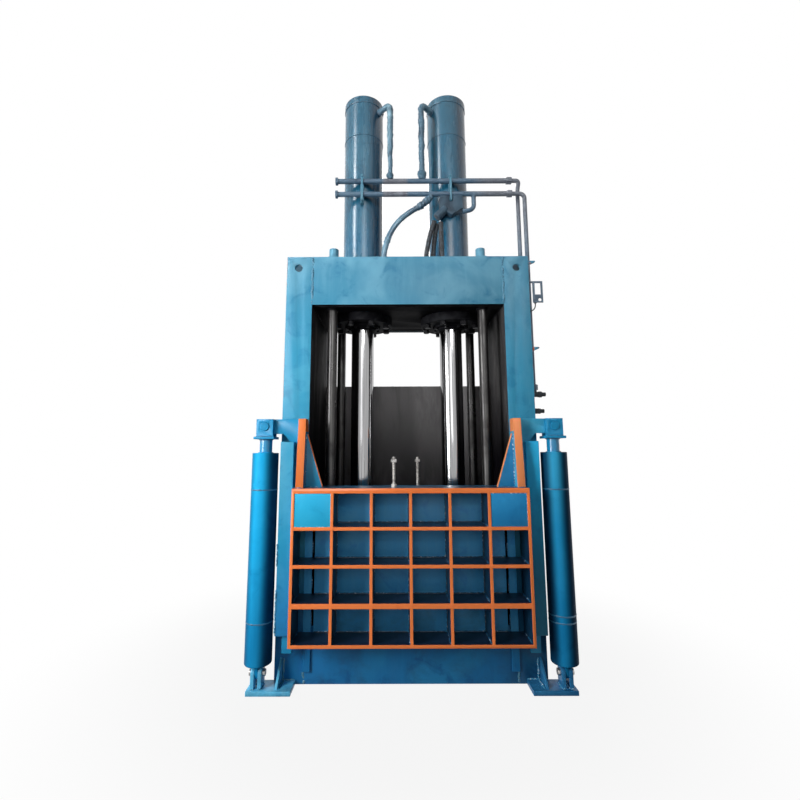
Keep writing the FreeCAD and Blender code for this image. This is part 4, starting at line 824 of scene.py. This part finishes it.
def bead(path, radius, seed, pitch=0.0075, count=8, closed=False, flatten=(1, 1, 1), drift=0.25):
    # a weld: a thin tube half sunk in its corner. Its radius is R (0.82 + 0.18 |sin(pi s / pitch)|), more or
    # less a little, and its line drifts
    along = lengthAlong(path)
    swell = 0.82 + 0.18 * np.abs(np.sin(np.pi * along / pitch))
    swell = swell * (1 + 0.16 * wander(along, seed, 0.012, 0.09))
    if not closed:
        ends = np.minimum(along, along[-1] - along) / (radius * 1.6)
        swell = swell * np.sqrt(np.clip(ends, 0.02, 1))
    shift = np.stack([wander(along, seed + k, 0.015, 0.12) for k in (11, 12, 13)], 1) * radius * drift
    return swept(path + shift, radius * swell, count, closed=closed, flatten=flatten)


def ringWeld(centre, reach, radius, seed, count, **more):
    angle = np.linspace(0, 2 * np.pi, count, endpoint=False)
    path = np.stack([reach * np.cos(angle), reach * np.sin(angle), np.zeros(count)], 1)
    return bead(path + np.asarray(centre, float), radius, seed, closed=True, **more)


def weldRuns(name, runs, like, radius, finish="weld", step=0.0030, **more):
    patches = [bead(straight(start, end, step), radius, 100 + 7 * k, **more)
               for k, (start, end) in enumerate(runs)]
    addGrids(name, patches, finish, like)


def hexagonal(acrossFlats, height, foot, axis=2, toward=1, twist=0.0, segments=72):
    # a nut or bolt head: r(a) = half the flats / cos(a from the middle of its flat); where that passes the
    # chamfer's circle the top drops by the excess times 0.58
    angle = np.linspace(0, 2 * np.pi, segments, endpoint=False)
    flat = acrossFlats / 2 / np.cos((angle + twist) % (np.pi / 3) - np.pi / 6)
    rim = acrossFlats / 2 * 0.97
    drop = np.maximum(flat - rim, 0) * 0.58
    radius = np.stack([flat * 0, flat, flat, flat * 0 + rim, flat * 0])
    along = np.stack([flat * 0, flat * 0, height - drop, flat * 0 + height, flat * 0 + height])
    return carried(radius, along * toward, axis, foot)


def lumps(path, radius, seed, count=24, wrap=0.016, ridge=0.05, bulk=0.12):
    # tape or cloth wound round a pipe: the radius steps once per turn of the winding and bulges slowly
    along = lengthAlong(path)
    angle = np.linspace(0, 2 * np.pi, count, endpoint=False)
    turns = (along[:, None] / wrap + angle / (2 * np.pi)) % 1.0
    twist = wander(along, seed + 3, 0.08, 0.3)[:, None] * 3
    slow = wander(along, seed, 0.03, 0.16)[:, None] + 0.6 * np.sin(angle * 2 + twist)
    return swept(path, radius * (1 + ridge * (0.5 - turns) + bulk * 0.5 * slow), count)


softNodes = {
    # finish: CAD nodes and how far the edge is broken, in metres
    "frame": {"crosshead": 0.0014, "front_column_left": 0.0014, "front_column_right": 0.0014,
              "rear_columns": 0.0018, "side_wall_left": 0.001, "side_wall_right": 0.001,
              "side_ribs_left": 0.0016, "side_ribs_right": 0.0016, "front_sill": 0.0016, "rear_sill": 0.0018,
              "chamber_floor": 0.0015, "back_wall": 0.002, "back_ribs": 0.0018,
              "guide_rail_left": 0.003, "column_pegs": 0.002},
    "railRight": {"guide_rail_right": 0.003},
    "footLeft": {"cylinder_foot_left": 0.0022}, "footRight": {"cylinder_foot_right": 0.0022},
    "gate": {"gate_grid": 0.0016, "gate_tongues": 0.002},
    "sheet": {"gate_sheet": 0.001}, "strip": {"wear_strips": 0.0018},
    "plate": {"gate_corner_plates": 0.0012},
    "bracketLeft": {"lift_bracket_left": 0.003}, "bracketRight": {"lift_bracket_right": 0.003},
    "lift": {"rod_clevis_left": 0.0025, "rod_clevis_right": 0.0025},
    "clamp": {"pipe_clamps": 0.001}, "pipe": {"switch_bracket": 0.001},
    "oiled": {"platen": 0.002},
    "valve": {"valve_block": 0.006},
}
for finish, group in softNodes.items():
    for nodeName, width in group.items():
        soften(nodeName, finish, width)
print("plates softened")


def makePressCylinders():
    tube, flange, seat, lip, lipHeight = 0.1365, 0.200, 0.0955, 0.1395, 0.045
    reach = [0.001, 0.003, 0.003, 0.001, 0.0015, 0.0015, 0.004]
    for word, side in sides.items():
        node = f"press_cylinder_{word}"
        bottom, top = levels(node)
        lipFoot = top - lipHeight
        outline = [(seat, bottom + 0.05), (seat, bottom), (flange, bottom), (flange, beamBottom),
                   (tube, beamBottom), (tube, lipFoot), (lip, lipFoot), (lip, top), (0, top)]
        mesh = remake(node, [turned(eased(outline, reach), (pressAxis * side, 0, 0), 2, 144)], "press")
        markBelow(mesh, beamBottom - 0.0005, "black")
        seams = [(roof, 0.008), (lipFoot - 0.001, 0.0035), (3.455, 0.0022)]
        rings = [ringWeld((pressAxis * side, 0, height), tube + 0.001, radius, 40 + k, 288, flatten=(1, 1, 1.2))
                 for k, (height, radius) in enumerate(seams)]
        addGrids(f"press_cylinder_welds_{word}", rings, "pressWeld", node)


def makeGlands():
    hole, boss, flange, lip, plate, drop = 0.0753, 0.095, 0.119, 0.083, 0.014, 0.012
    bottom = levels("press_cylinder_left")[0]
    under, nose = bottom - plate, bottom - plate - drop
    outline = [(hole, bottom + 0.06), (hole, nose - 0.004), (lip, nose - 0.004), (lip, nose), (boss, nose),
               (boss, under), (flange, under), (flange, bottom)]
    reach = [0.001, 0.0015, 0.001, 0.002, 0.002, 0.002]
    patches = [turned(eased(outline, reach), (pressAxis * side, 0, 0), 2, 120) for side in sides.values()]
    remake("rod_glands", patches, "black")
    count = 8
    for node, circle, flats, height, foot, washer in (("flange_bolts", 0.1725, 0.036, 0.024, bottom, 0.022),
                                                      ("gland_bolts", 0.107, 0.018, 0.012, under, 0.011)):
        edge = eased([(0, 0), (washer, 0), (washer, -height * 0.12), (0, -height * 0.12)], 0.0004, 2)
        patches = []
        for side in sides.values():
            for k in range(count):
                angle = math.radians(360 / count * (k + 0.5))
                place = (pressAxis * side + circle * math.cos(angle), circle * math.sin(angle), foot)
                patches += [hexagonal(flats, height, place, 2, -1, k * 1.9), turned(edge, place, 2, 32)]
        remake(node, patches, "darkBolt", 30)


def makePistonRods():
    rod, foot, footHeight, piston, pistonHeight = 0.075, 0.105, 0.030, 0.1097, 0.120
    for word, side in sides.items():
        node = f"piston_rod_{word}"
        base, top = levels(node)
        outline = [(0, base), (foot, base), (foot, base + footHeight), (rod, base + footHeight),
                   (rod, top - pistonHeight), (piston, top - pistonHeight), (piston, top), (0, top)]
        remake(node, [turned(eased(outline, 0.003), (pressAxis * side, 0, 0), 2, 160)], "chrome")


def makeGuides():
    places = [(guideOut * side, guideOff * end, 0) for side in (-1, 1) for end in (-1, 1)]
    rodRadius, footRadius, footHeight, bushRadius, bossRadius = 0.030, 0.046, 0.034, 0.036, 0.062
    base, top = levels("guide_rods")
    painted = roof - 0.02
    rod = [(0, base), (footRadius, base), (footRadius, base + footHeight), (rodRadius, base + footHeight),
           (rodRadius, painted), (rodRadius, top), (0, top)]
    mesh = remake("guide_rods", [turned(eased(rod, 0.003), place, 2, 72) for place in places], "frame")
    markBelow(mesh, painted, "oiled")
    low, high = levels("guide_bushes")
    hole, mouth = rodRadius + 0.0001, beamBottom + 0.002
    bush = [(hole, high), (hole, low), (bushRadius, low), (bushRadius, mouth), (bushRadius, roof),
            (bossRadius, roof), (bossRadius, high), (hole, high)]
    mesh = remake("guide_bushes", [turned(eased(bush, 0.003), place, 2, 72) for place in places], "frame")
    markBelow(mesh, mouth, "black")
    rings = [ringWeld(np.add(place, (0, 0, roof)), bossRadius + 0.0005, 0.0045, 60 + k, 160)
             for k, place in enumerate(places)]
    addGrids("guideBushWelds", rings, "weld", "guide_bushes")


makePressCylinders()
makeGlands()
makePistonRods()
makeGuides()
print("press cylinders, rods and guides made")


def lugPrism(centre, halfThick, radius, top, axisHeight):
    # a plate across X with a round lower end: half a circle about the pin, then straight sides up to top
    angle = np.linspace(-np.pi, 0, 33)
    y = np.concatenate([radius * np.cos(angle), [radius, -radius]])
    z = np.concatenate([axisHeight + radius * np.sin(angle), [top, top]])
    row = np.stack([np.zeros_like(y), y, z], 1)
    rows = np.stack([row + (-halfThick, 0, 0), row + (halfThick, 0, 0)])
    return closedEnds((rows + np.asarray(centre, float), False, True))


def makeLiftCylinders():
    tube, rodHole, seal, foot = 0.0722, 0.0355, 0.042, 0.140
    rod, piston, pistonHeight = 0.035, 0.0597, 0.080
    reach = [0.009, 0.004, 0.0008, 0.0015, 0.001]
    for word, side in sides.items():
        node = f"lift_cylinder_{word}"
        high = levels(node)[1]
        centre = (liftX * side, liftY, 0)
        outline = [(0, foot), (tube, foot), (tube, high), (seal, high), (seal, high + 0.004),
                   (rodHole, high + 0.004), (rodHole, high - 0.034)]
        remake(node, [turned(eased(outline, reach, 6), centre, 2, 144),
                      lugPrism(centre, 0.009, 0.032, 0.150, 0.094)], f"lift{word.capitalize()}")
        heights = (1.047, 0.354, 0.388) if side > 0 else (1.047, 0.354)
        rings = [ringWeld(np.add(centre, (0, 0, height)), tube - 0.0010, 0.0022, 70 + k, 220,
                          flatten=(1, 1, 2.4)) for k, height in enumerate(heights)]
        rings.append(ringWeld(np.add(centre, (0, 0, foot + 0.0015)), 0.036, 0.006, 77, 120))
        addGrids(f"lift_cylinder_welds_{word}", rings, "liftWeld", node)
        node = f"lift_rod_{word}"
        base, top = levels(node)
        outline = [(0, base), (piston, base), (piston, base + pistonHeight), (rod, base + pistonHeight),
                   (rod, top), (0, top)]
        remake(node, [turned(eased(outline, 0.001), centre, 2, 96)], "liftRod")


def makePins():
    for node, axis, radius, reach, ease, segments, finish in (
            ("clevis_pins", 1, 0.025, 0.0485, 0.0035, 64, "lift"),
            ("foot_pins", 0, 0.018, 0.043, 0.0025, 48, "zinc")):
        outline = eased([(0, -reach), (radius, -reach), (radius, reach), (0, reach)], ease)
        height = sum(levels(node)) / 2
        remake(node, [turned(outline, (liftX * side, liftY, height), axis, segments)
                      for side in sides.values()], finish)


makeLiftCylinders()
makePins()
print("lift cylinders made")


def makeStud(node, x, y):
    # the thread is a radius that rises and falls once per pitch, with p the fraction of z / pitch - a / 2 pi:
    # r = R - depth |2 p - 1|
    thick, depth, pitch, tip, flats, nut = 0.010, 0.0014, 0.0025, 0.002, 0.030, 0.016
    foot, top = levels(node)
    height = np.arange(foot, top - tip, pitch / 6)
    angle = np.linspace(0, 2 * np.pi, 32, endpoint=False)
    phase = (height[:, None] / pitch - angle / (2 * np.pi)) % 1.0
    radius = thick - depth * np.abs(2 * phase - 1)
    radius = np.minimum(radius, thick - tip + np.clip(top - tip - height, 0, tip)[:, None])
    patches = [closedEnds(carried(radius, height[:, None], 2, (x, y, 0)))]
    patches += [hexagonal(flats, nut, (x, y, z), 2, 1, twist)
                for z, twist in ((foot, 0.3), (top - 2 * nut, 0.8))]
    remake(node, patches, "zinc", 30)


makeStud("gate_stud", -0.090, -0.430)
makeStud("platen_stud", 0.057, -0.150)


def makeHeaders():
    left, right, pipe, flats, nut = -0.480, 0.715, 0.017, 0.046, 0.034
    for word, z in headerHeights.items():
        run = straight((left, pipeY, z), (right, pipeY, z), 0.02)
        patches = [closedEnds(swept(run, pipe, 40, (0, 0, 1))),
                   hexagonal(flats, nut / 2, (left, pipeY, z), 0, 1, 0.2),
                   hexagonal(flats, nut, (right - nut, pipeY, z), 0, 1, 0.5)]
        if word == "lower":
            feedX = 0.456
            feed = route([(feedX, pipeY, z), (feedX, pipeY, z - 0.112), (0.376, pipeY, z - 0.130)], 0.4, 0.006)
            patches.append(swept(feed, 0.015, 32, (0, 1, 0)))
            patches.append(ringWeld((feedX, pipeY, z - 0.0165), 0.0155, 0.004, 5, 60))
        remake(f"header_{word}", patches, "pipe", 30)


def makeDropPipes():
    # lumpy, as if wound with painted tape, from the port down to a knot above the upper header
    pipe, union, port, above = 0.0200, 0.0225, math.radians(35), headerHeights["upper"]
    dropX, top, portReach = 0.108, 3.755 - 0.093, 0.1335
    for word, side in sides.items():
        x = dropX * side
        out = np.array([-side * math.cos(port), -math.sin(port), 0.0])
        start = np.array([side * pressAxis, 0, top]) + out * portReach
        path = route([start, (x, pipeY, top), (x, pipeY, above + 0.014)], 0.38, 0.0020)
        along = np.linspace(0, 1, len(path))
        path[:, 0] += 0.0030 * np.sin(np.pi * along) * wander(along, 31 + side, 0.15, 0.60)
        thick = pipe * (1 + 0.07 * wander(along, 41 + side, 0.06, 0.40))
        # the left one grows thinner towards its knot
        thick *= 1 - (0.30 if side < 0 else 0.08) * np.clip((along - 0.55) / 0.35, 0, 1)
        patches = [lumps(path, thick[:, None], 21 + side, 28, 0.021, 0.14, 0.13)]
        # the knot: r = R (1 - 0.4 t^4) with lumps, t from -1 to 1 along it
        low, tall = above + 0.016, 0.060 if side > 0 else 0.046
        collar = straight((x, pipeY, low), (x, pipeY, low + tall), 0.0015)
        t = np.linspace(-1, 1, len(collar))
        bulk = union * (1.12 if side > 0 else 0.95) * (1 - 0.4 * np.abs(t) ** 4)
        patches.append(closedEnds(lumps(collar, bulk[:, None], 5 + side, 28, 0.014, 0.16, 0.30)))
        knob = straight((x - 0.016, pipeY - 0.010, low + 0.004),
                        (x - 0.018, pipeY - 0.012, low + tall * 0.7), 0.001)
        bulge = 0.0115 * np.sqrt(np.clip(1 - np.linspace(-1, 1, len(knob)) ** 2, 0.01, 1))
        patches.append(closedEnds(lumps(knob, bulge[:, None], 15 + side, 20, 0.010, 0.12, 0.20)))
        patches.append(ringWeld((x, pipeY, low), 0.0185, 0.0045, 9, 60))
        addGrids(f"drop_pipe_{word}", patches, "tape", "header_upper", 60)
        # a plain round nut on the port, set square to the tube
        rows = np.array([start + out * reach for reach in (0.004, 0.0055, 0.028, 0.030)])
        nut = swept(rows, (0.021, 0.024, 0.024, 0.0205), 36, (0, 0, 1))
        addGrids(f"port_nut_{word}", [closedEnds(nut)], "pipe", "header_upper", 30)


def makeDownpipes():
    start, pipe, elbowDrop = 0.715, 0.014, 0.062
    for word, x, setBack, top in (("upper", 0.766, 0.042, 1.570), ("lower", 0.800, 0.0, 1.672)):
        node, z, y = f"downpipe_{word}", headerHeights[word], pipeY + setBack
        points = [(start, pipeY, z), (x, pipeY, z)]
        if setBack:
            points.append((x, y, z - max(x - start, setBack)))
        points.append((x, y, top))
        patches = [swept(route(points, 0.4, 0.006), pipe, 32, (0, 1, 0)),
                   hexagonal(0.046, 0.034, (x, y, top - 0.034), 2, 1, 0.4)]
        remake(node, patches, "pipe", 30)
        elbow = route([(x, y, top - 0.030), (x, y, top - elbowDrop), (0.848, y, top - elbowDrop)], 0.42, 0.0012)
        nipple = [(0, 0.846), (0.013, 0.846), (0.013, 0.872), (0.009, 0.872), (0.009, 0.858), (0, 0.858)]
        patches = [lumps(elbow, 0.0172, 31 + int(x * 1000), 28, 0.011, 0.10, 0.16),
                   turned(eased(nipple, 0.0012), (0, y, top - elbowDrop), 0, 40)]
        addGrids(f"port_elbow_{word}", patches, "hose", node, 50)


def hosePoints(places, offset=0):
    # places are across the machine and up from the roof, in millimetres, as is the offset towards the back
    return [(x / 1000, pipeY + offset / 1000, roof + up / 1000) for x, up in places]


def makeHoses():
    blue = [(168, 505), (105, 441), (30, 396), (-30, 351), (-82, 290), (-124, 208), (-148, 120), (-152, 62),
            (-152, 32)]
    black = [(-12, [(187, 318), (168, 262), (152, 200), (139, 138), (130, 82), (130, 32)]),
             (14, [(208, 311), (196, 255), (187, 196), (181, 136), (177, 82), (177, 32)]),
             (-18, [(229, 306), (229, 252), (230, 196), (232, 138), (233, 80), (233, 32)])]
    path = route(hosePoints(blue), 0.45, 0.0025)
    along = np.linspace(0, 1, len(path))
    # its thickness, with bulges and pinches: where along it, how far they spread, how much they add
    thick = np.full(len(path), 0.0182)
    for middle, spread, more in ((0.07, 0.045, 0.0070), (0.17, 0.035, 0.0060), (0.255, 0.012, -0.0015),
                                 (0.42, 0.012, 0.0014), (0.74, 0.05, 0.0022), (0.82, 0.012, 0.0016)):
        thick += more * np.exp(-((along - middle) / spread) ** 2)
    wrapped = np.clip((0.26 - along) / 0.02, 0, 1) + np.exp(-((along - 0.75) / 0.06) ** 2)
    angle = np.linspace(0, 2 * np.pi, 32, endpoint=False)
    folds = wander(along, 8, 0.012, 0.06)[:, None] + np.sin(angle * 3 + along[:, None] * 140)
    patches = [swept(path, thick[:, None] * (1 + 0.085 * folds * wrapped[:, None]), 32, (0, 1, 0))]
    remake("hose_blue", patches, "hosePaint", 60)
    patches = [lumps(route(hosePoints(places, offset), 0.45, 0.0025), 0.0155, 50 + k, 24, 0.021, 0.05, 0.10)
               for k, (offset, places) in enumerate(black)]
    remake("hoses_black", patches, "hose", 60, False)
    ridges = [(0, 0)] + [(0.023 - 0.0012 * (k % 2), 0.004 * k) for k in range(9)] + [(0.019, 0.034), (0, 0.034)]
    patches = [turned(ridges, (x, pipeY + offset, roof), 2, 48)
               for x, offset in ((-0.152, 0.0), (0.130, -0.012), (0.177, 0.014), (0.233, -0.018))]
    remake("hose_sockets", patches, "pipe", 30, False)


def makeClampNuts():
    low, high = levels("pipe_clamps")
    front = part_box("pipe_clamps")[0][1]
    patches = [hexagonal(0.013, 0.008, (pressAxis * side, front, z), 1, -1, 0.3 * side)
               for side in sides.values() for z in (low + 0.008, high - 0.008)]
    addGrids("clampNuts", patches, "clamp", "pipe_clamps", 30, True)


def makeSensor():
    x, y, end, plate = 0.793, -0.305, 2.164, 0.7505
    body = [(0, end), (0.009, end), (0.009, end + 0.044), (0, end + 0.044)]
    wire = route([(x, y, end), (x - 0.002, y, end - 0.026), (x - 0.016, y, end - 0.046),
                  (plate, y, end - 0.056)], 0.45, 0.002)
    patches = [turned(eased(body, 0.0015), (x, y, 0), 2, 40), swept(wire, 0.0035, 16, (0, 1, 0))]
    remake("limit_sensor", patches, "hose", even=False)


makeHeaders()
makeDropPipes()
makeDownpipes()
makeHoses()
makeClampNuts()
makeSensor()
print("pipes and hoses made")


def flipped(runs, side):
    # the same runs on one side, given for the right-hand one
    flip = np.array([side, 1, 1])
    return [(np.array(start, float) * flip, np.array(end, float) * flip) for start, end in runs]


def mirrored(runs):
    return flipped(runs, 1) + flipped(runs, -1)


def makeFrameWelds():
    seams = [((mouthHalf, frameFront, beamBottom + 0.004), (mouthHalf, frameFront, roof - 0.004)),
             ((mouthHalf, frameFront, 0.004), (mouthHalf, frameFront, 0.298))]
    weldRuns("groundSeams", mirrored(seams), "crosshead", 0.0075, "seam", flatten=(1, 0.24, 1), drift=0.5)
    cornerX, cornerZ, depth = mouthHalf - 0.001, beamBottom - 0.001, 0.303
    corner = mirrored([((cornerX, -depth, cornerZ), (cornerX, depth, cornerZ))])
    corner += [((-mouthHalf, frameFront + 0.034, beamBottom), (mouthHalf, frameFront + 0.034, beamBottom))]
    weldRuns("chamberWelds", corner, "crosshead", 0.005, "black")
    ribs, depth, wall, thick, lowestRib, ribPitch = [], 0.305, 0.620, 0.020, 0.150, 0.340
    for k in range(7):
        z = lowestRib + ribPitch * k
        ribs += [((wall, -depth, z + rise), (wall, depth, z + rise)) for rise in (0, thick)]
        ribs += [((wall, end, z + thick), (halfWidth - 0.004, end, z + thick)) for end in (-depth, depth)]
    ribs += [((wall, end, 0.004), (wall, end, roof - 0.004)) for end in (-depth, depth)]
    weldRuns("sideRibWelds", mirrored(ribs), "side_ribs_left", 0.0045, step=0.004)
    rear, wallBack, reach, lowest, wallTop = [], 0.335, 0.618, 0.080, 1.732
    for k in range(6):
        z = lowest + (wallTop - lowest - thick) / 5 * k
        rear += [((-reach, wallBack, z + rise), (reach, wallBack, z + rise)) for rise in (0, thick)]
    outermost, low, high = 0.630, 0.104, 1.708
    for k in range(5):
        x = -outermost + 2 * outermost / 4 * k
        rear += [((x + shift, wallBack, low), (x + shift, wallBack, high)) for shift in (-thick / 2, thick / 2)
                 if abs(x + shift) < outermost]
    weldRuns("backRibWelds", rear, "back_ribs", 0.0045, step=0.004)


def makeStripWelds():
    # the strip's inner edge, welded to the column here and there
    x, y = 0.5515, -0.3405
    runs = [((x * side, y, z - before), (x * side, y, z + after))
            for side, before, after in ((-1, 0, 0.070), (1, 0.02, 0.060)) for z in np.arange(0.30, 1.0, 0.1925)]
    weldRuns("wearStripWelds", runs, "wear_strips", 0.0040, "gateWeld")


def makeRailWelds():
    outer, near, face, foot = 0.727, 0.702, -0.445, 0.290
    edges = [((-outer, face, low), (-outer, face, high)) for low, high in ((foot, 0.520), (0.640, 0.760))]
    # pale ragged tacks on the left rail's outer edge: paint rubbed bare, and painted glints
    weldRuns("railEdgeTacks", edges, "guide_rail_left", 0.0042, "bareWeld", drift=0.4)
    roots = [((x, frameFront, foot), (x, frameFront, 1.307)) for x in (outer, near)]
    weldRuns("railRootWelds", mirrored(roots), "guide_rail_left", 0.005)


def makeGateWelds():
    # short runs in every open cell: along the shelf's back edge, and up the two back corners
    edge, half, pitch, cell, back = 0.632, 0.008, (1.280 - 0.016) / 6, 0.1745, -0.348
    sheetHalf, shelves = 0.537, (0.273, 0.4735, 0.666, 0.8585)
    chance = np.random.default_rng(3)
    runs, blobs = [], []
    for row, floorZ in enumerate(shelves):
        roofZ = floorZ + cell
        for column in range(6):
            if row == 3 and column in (0, 5):
                continue
            leftRib, rightRib = -edge + pitch * column + half, -edge + pitch * (column + 1) - half
            left = -sheetHalf if column == 0 else leftRib
            right = sheetHalf if column == 5 else rightRib
            runs += [((left, back, z), (right, back, z)) for z in (floorZ, roofZ)]
            runs += [((x, back, floorZ + 0.002), (x, back, roofZ - 0.002))
                     for x in (left, right) if abs(x) < 0.53]
            for x in (leftRib, rightRib):
                for z in (floorZ, roofZ):
                    start = gateFront + 0.012 + chance.uniform(0, 0.02)
                    runs.append(((x, start, z), (x, start + chance.uniform(0.05, 0.09), z)))
                    runs.append(((x, back - 0.06, z), (x, back - 0.004, z)))
            if right < 0.55:
                blobs.append((right - 0.004, back - 0.004, floorZ + 0.004))
    weldRuns("gateCellWelds", runs, "gate_grid", 0.0042, "gateWeld", count=7)
    # pale blobs at the back corners of the cells: painted glints
    patches = [bead(straight(np.subtract(blob, (0.008, 0, 0)), np.add(blob, (0.004, 0, 0)), 0.001), 0.007,
                    500 + k) for k, blob in enumerate(blobs)]
    addGrids("gateCellBlobs", patches, "glint", "gate_grid")
    inside, outside = edge - pitch + half, edge - half
    low, high, y = shelves[-1], shelves[-1] + cell, gateFront + 0.0068
    tacks = []
    for side, upright, levelZ in ((-1, -inside, low), (1, outside, high)):
        for k in range(8):
            along = (k + 0.5) / 8 + chance.uniform(-0.03, 0.03)
            z = low + along * (high - low)
            x = (inside + along * (outside - inside)) * side
            tacks += [((upright, y, z - 0.008), (upright, y, z + 0.008)),
                      ((x - 0.010, y, levelZ), (x + 0.010, y, levelZ))]
    # the corner plates' tacks in near white: painted glints
    weldRuns("cornerPlateTacks", tacks, "gate_corner_plates", 0.0050, "bright", step=0.0015)
    x, y = 0.640, -0.419
    tongue = mirrored([((x, y, z), (x, y, z + 0.05)) for z in np.arange(0.27, 1.0, 0.12)])
    weldRuns("tongueTacks", tongue, "gate_tongues", 0.004, "gateWeld")


def makeBracketWelds():
    near, outer, foot = 0.583, 0.625, gateTop
    high, gussetFront, gussetFoot, front, rear = foot + 0.380, liftY - 0.040, near - 0.096, -0.503, -0.388
    upper = [((near, gussetFront, foot + 0.01), (near, gussetFront, foot + 0.29)),
             ((gussetFoot, gussetFront, foot), (near, gussetFront, foot)),
             ((gussetFoot, gussetFront + 0.020, foot), (near, gussetFront + 0.020, foot)),
             ((near, front, foot), (near, rear, foot)), ((outer, front, foot), (outer, rear, foot)),
             ((near + 0.002, front - 0.002, foot), (outer - 0.002, front - 0.002, foot)),
             ((outer, liftY - 0.018, high - 0.130), (outer, liftY - 0.018, high - 0.004)),
             ((outer, liftY + 0.018, high - 0.130), (outer, liftY + 0.018, high - 0.004))]
    tacks = [((near, gussetFront, foot + z), (near, gussetFront, foot + z + 0.014))
             for z in np.arange(0.02, 0.28, 0.026)]
    clevisFoot, clevisRing, half = 1.341, 1.3265, 0.0475
    for word, side in sides.items():
        bracket, clevis = f"lift_bracket_{word}", f"rod_clevis_{word}"
        weldRuns(f"bracket_welds_{word}", flipped(upper, side), bracket, 0.0048, "gateWeld")
        # the right gusset's tacks in near white: painted glints
        if side > 0:
            weldRuns("gussetTacksRight", tacks, bracket, 0.0058, "bright")
        x = liftX * side
        runs = [((x - half, liftY + shift, clevisFoot), (x + half, liftY + shift, clevisFoot))
                for shift in (-0.0425, 0.0425)]
        weldRuns(f"clevis_welds_{word}", runs, clevis, 0.005, "liftWeld")
        ring = ringWeld((x, liftY, clevisRing), 0.0365, 0.0045, 90, 120)
        addGrids(f"clevis_ring_weld_{word}", [ring], "liftWeld", clevis)


def makeFootWelds():
    plate, lug, lugGap, lugHalf, gusset, thick = 0.024, 0.020, 0.0095, 0.034, 0.712, 0.014
    runs = []
    for inwards in (-1, 1):
        x = liftX + lugGap * inwards
        far, front = x + lug * inwards, liftY - lugHalf - 0.002
        runs += [((face, liftY - lugHalf, plate), (face, liftY + lugHalf, plate)) for face in (x, far)]
        runs.append(((x, front, plate), (far, front, plate)))
    for face in (gusset - thick, gusset):
        runs += [((face, frameFront - 0.106, plate), (face, frameFront - 0.004, plate)),
                 ((face, frameFront, plate + 0.004), (face, frameFront, plate + 0.110))]
    runs.append(((0.634, frameFront, plate), (0.748, frameFront, plate)))
    # the right foot's welds take the pale glint paint: painted glints
    for word, side in sides.items():
        weldRuns(f"foot_welds_{word}", flipped(runs, side), f"cylinder_foot_{word}", 0.0055,
                 "glint" if side > 0 else "weld")


makeFrameWelds()
makeStripWelds()
makeRailWelds()
makeGateWelds()
makeBracketWelds()
makeFootWelds()
print("welds laid")
